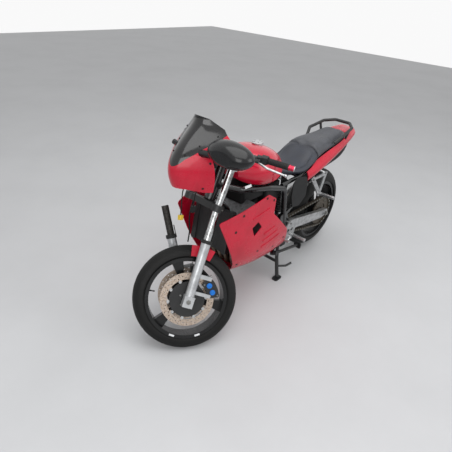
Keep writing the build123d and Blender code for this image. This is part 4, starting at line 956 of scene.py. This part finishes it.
for sign, side in sides:
    plate = block(58, 34, 4, 2)
    placed(plate, [framed(at(-2, sign * 134.6, 330), forward, left * sign)], "adjuster_plate_" + side,
           "chassis", bare_alloy)
    nut = turned([(16, 0), (16, 3), (13, 3), (13, 12), (11.5, 13.5), (8.6, 13.5), (8, 11)], 6, 20)
    placed(nut, [facing(at(0, sign * 146.2, 330), left * sign)], "rear_axle_nut_" + side, "chassis",
           bolt_steel)
    placed(turned([(3.5, 0), (3.5, 26), (2.5, 27)], 12), [facing(at(-40, sign * 120, 330), -forward)],
           "adjuster_screw_" + side, "chassis", bolt_steel)
    nut = turned([(15, 0), (15, 2.5), (12.5, 2.5), (12.5, 9), (11, 10.5), (6, 10.5), (5, 8)], 6, 20)
    placed(nut, [facing(at(555, sign * 142.2, 400), left * sign)], "pivot_nut_" + side, "chassis", bolt_steel)
    ribbed_peg("peg_rubber_" + side, at(499, sign * 172, 351.8), at(496, sign * 274, 350), 18, 14.2)
    ribbed_peg("passenger_peg_rubber_" + side, at(183, sign * 156, 556), at(178, sign * 268, 560), 24, 14.0)
    bolts("bracket_bolts_" + side, "chassis", 6, [(at(300, sign * 153.2, 694), left * sign),
                                                  (at(150, sign * 153.2, 704), left * sign)])
    bolts("hanger_bolts_" + side, "chassis", 6, [(at(582, sign * 168.2, 345), left * sign),
                                                 (at(530, sign * 168.2, 446), left * sign)])

# ---------------------------------------------------------------- silencer
silencer = at(250, -218, 292)
silencer_way = Vector((-cos(radians(16)), 0, sin(radians(16))))
for step, name in ((6, "front"), (386, "rear")):
    band = oval(turned([(50.4, -6), (52.4, -5), (52.4, 5), (50.4, 6)], 56), 1.0, 1.195)
    middle = silencer + silencer_way * mm(step + 4)
    placed(band, [framed(middle, left, silencer_way)], "silencer_band_" + name, "chassis", bare_alloy)
# painted shade: a thin black disc on the end cap stands for the dark, sooty opening of the outlet
bore = turned([(19, 0), (19, 0.8), (18, 1.2)], 32)
placed(bore, [facing(silencer + silencer_way * mm(428), silencer_way)], "silencer_outlet_painted_shade", "chassis",
       black_moulding)
rivet = turned([(2.6, 0), (2.4, 1.2), (1.4, 1.8)], 12)
silencer_tall = silencer_way.cross(left)
rivet_ring = [left * cos(tau * k / 10) * mm(50.2) + silencer_tall * sin(tau * k / 10) * mm(60.2)
              for k in range(10)]
placed(rivet, [facing(silencer + silencer_way * mm(step) + spot, spot) for step in (14, 382)
               for spot in rivet_ring], "silencer_rivets", "chassis", bolt_steel)

# ---------------------------------------------------------------- blank tag, wired to the frame's left rail
tag_loop = [at(1012, 112, 842), at(1018, 122, 834), at(1024, 128, 846), at(1016, 132, 854)]
finished(meshed(round_line("tag_wire", tag_loop, 0.7, 3, 8)), "chassis", bolt_steel)
placed(block(44, 15, 1.0, 0.4, 1), [framed(at(994, 134, 844), (-1, 0.25, 0.15), (0.3, 0.9, 0.4))],
       "blank_tag", "chassis", white_foil)

# ---------------------------------------------------------------- tail lamp
lens_rib = block(112, 2.0, 1.6, 0.6, 1)
lens_x = -352.3
placed(lens_rib, [framed(at(lens_x, 0, 866 + 7 * k), left, -forward) for k in range(5)], "lamp_ribs",
       "chassis", lamp_red)
placed(turned([(11, 0), (11, 3), (8, 4), (3, 4)], 24),
       [facing(at(lens_x, 44 * sign, 880), -forward) for sign in (1, -1)], "lamp_eyes", "chassis", lamp_red)

scene = bpy.context.scene
scene.frame_set(1)

# ---------------------------------------------------------------- floor, light and camera
deselect()
bpy.ops.mesh.primitive_plane_add(size=24, location=(0, 0, 0))
floor = bpy.context.object
floor.name = "studio_floor"
floor_paint, tree, shader, place = new_material("pale_floor")
look = finish(tree, place, "#C2C3C5", "#BDBEC0", 0.0, 0.5, 900, 20, 0.0)
shader.inputs["Roughness"].default_value = 0.55
tree.links.new(look["Base Color"], shader.inputs["Base Color"])
floor.data.materials.append(floor_paint)


def lamp(name, place, target, size, power):
    """A square soft box."""
    light = bpy.data.lights.new(name, "AREA")
    light.shape = "SQUARE"
    light.size = size
    light.energy = power
    made = bpy.data.objects.new(name, light)
    bpy.context.collection.objects.link(made)
    made.location = place
    made.rotation_euler = (Vector(target) - Vector(place)).to_track_quat("-Z", "Y").to_euler()


middle = (0, 0, 0.5)
lamp("softbox_over", (0.5, 0.5, 4.2), middle, 4.0, 112)
lamp("softbox_front", (4.0, 2.2, 2.6), middle, 2.5, 62)
lamp("softbox_side", (-1.5, 4.2, 2.4), middle, 2.5, 56)

world = bpy.data.worlds.new("white_room")
world.use_nodes = True
scene.world = world
tree = world.node_tree
back = tree.nodes["Background"]
rays = node(tree, "LightPath")
seen = node(tree, "Math", {0: rays.outputs["Is Camera Ray"], 1: rays.outputs["Is Glossy Ray"]},
            operation="MAXIMUM")
seen = node(tree, "Math", {0: seen.outputs["Value"], 1: rays.outputs["Is Transmission Ray"]},
            operation="MAXIMUM")
strength = node(tree, "MapRange", {"Value": seen.outputs["Value"], "To Min": 0.52, "To Max": 0.95})
tree.links.new(strength.outputs["Result"], back.inputs["Strength"])
back.inputs["Color"].default_value = (1, 1, 1, 1)

lens = bpy.data.cameras.new("camera")
lens.lens = 34.13
camera = bpy.data.objects.new("camera", lens)
bpy.context.collection.objects.link(camera)
camera.location = (2.0727, 1.4471, 1.8441)
camera.rotation_euler = (radians(59.68), radians(-4.03), radians(132.36))
scene.camera = camera
scene.view_settings.view_transform = "Standard"

bpy.context.view_layer.update()
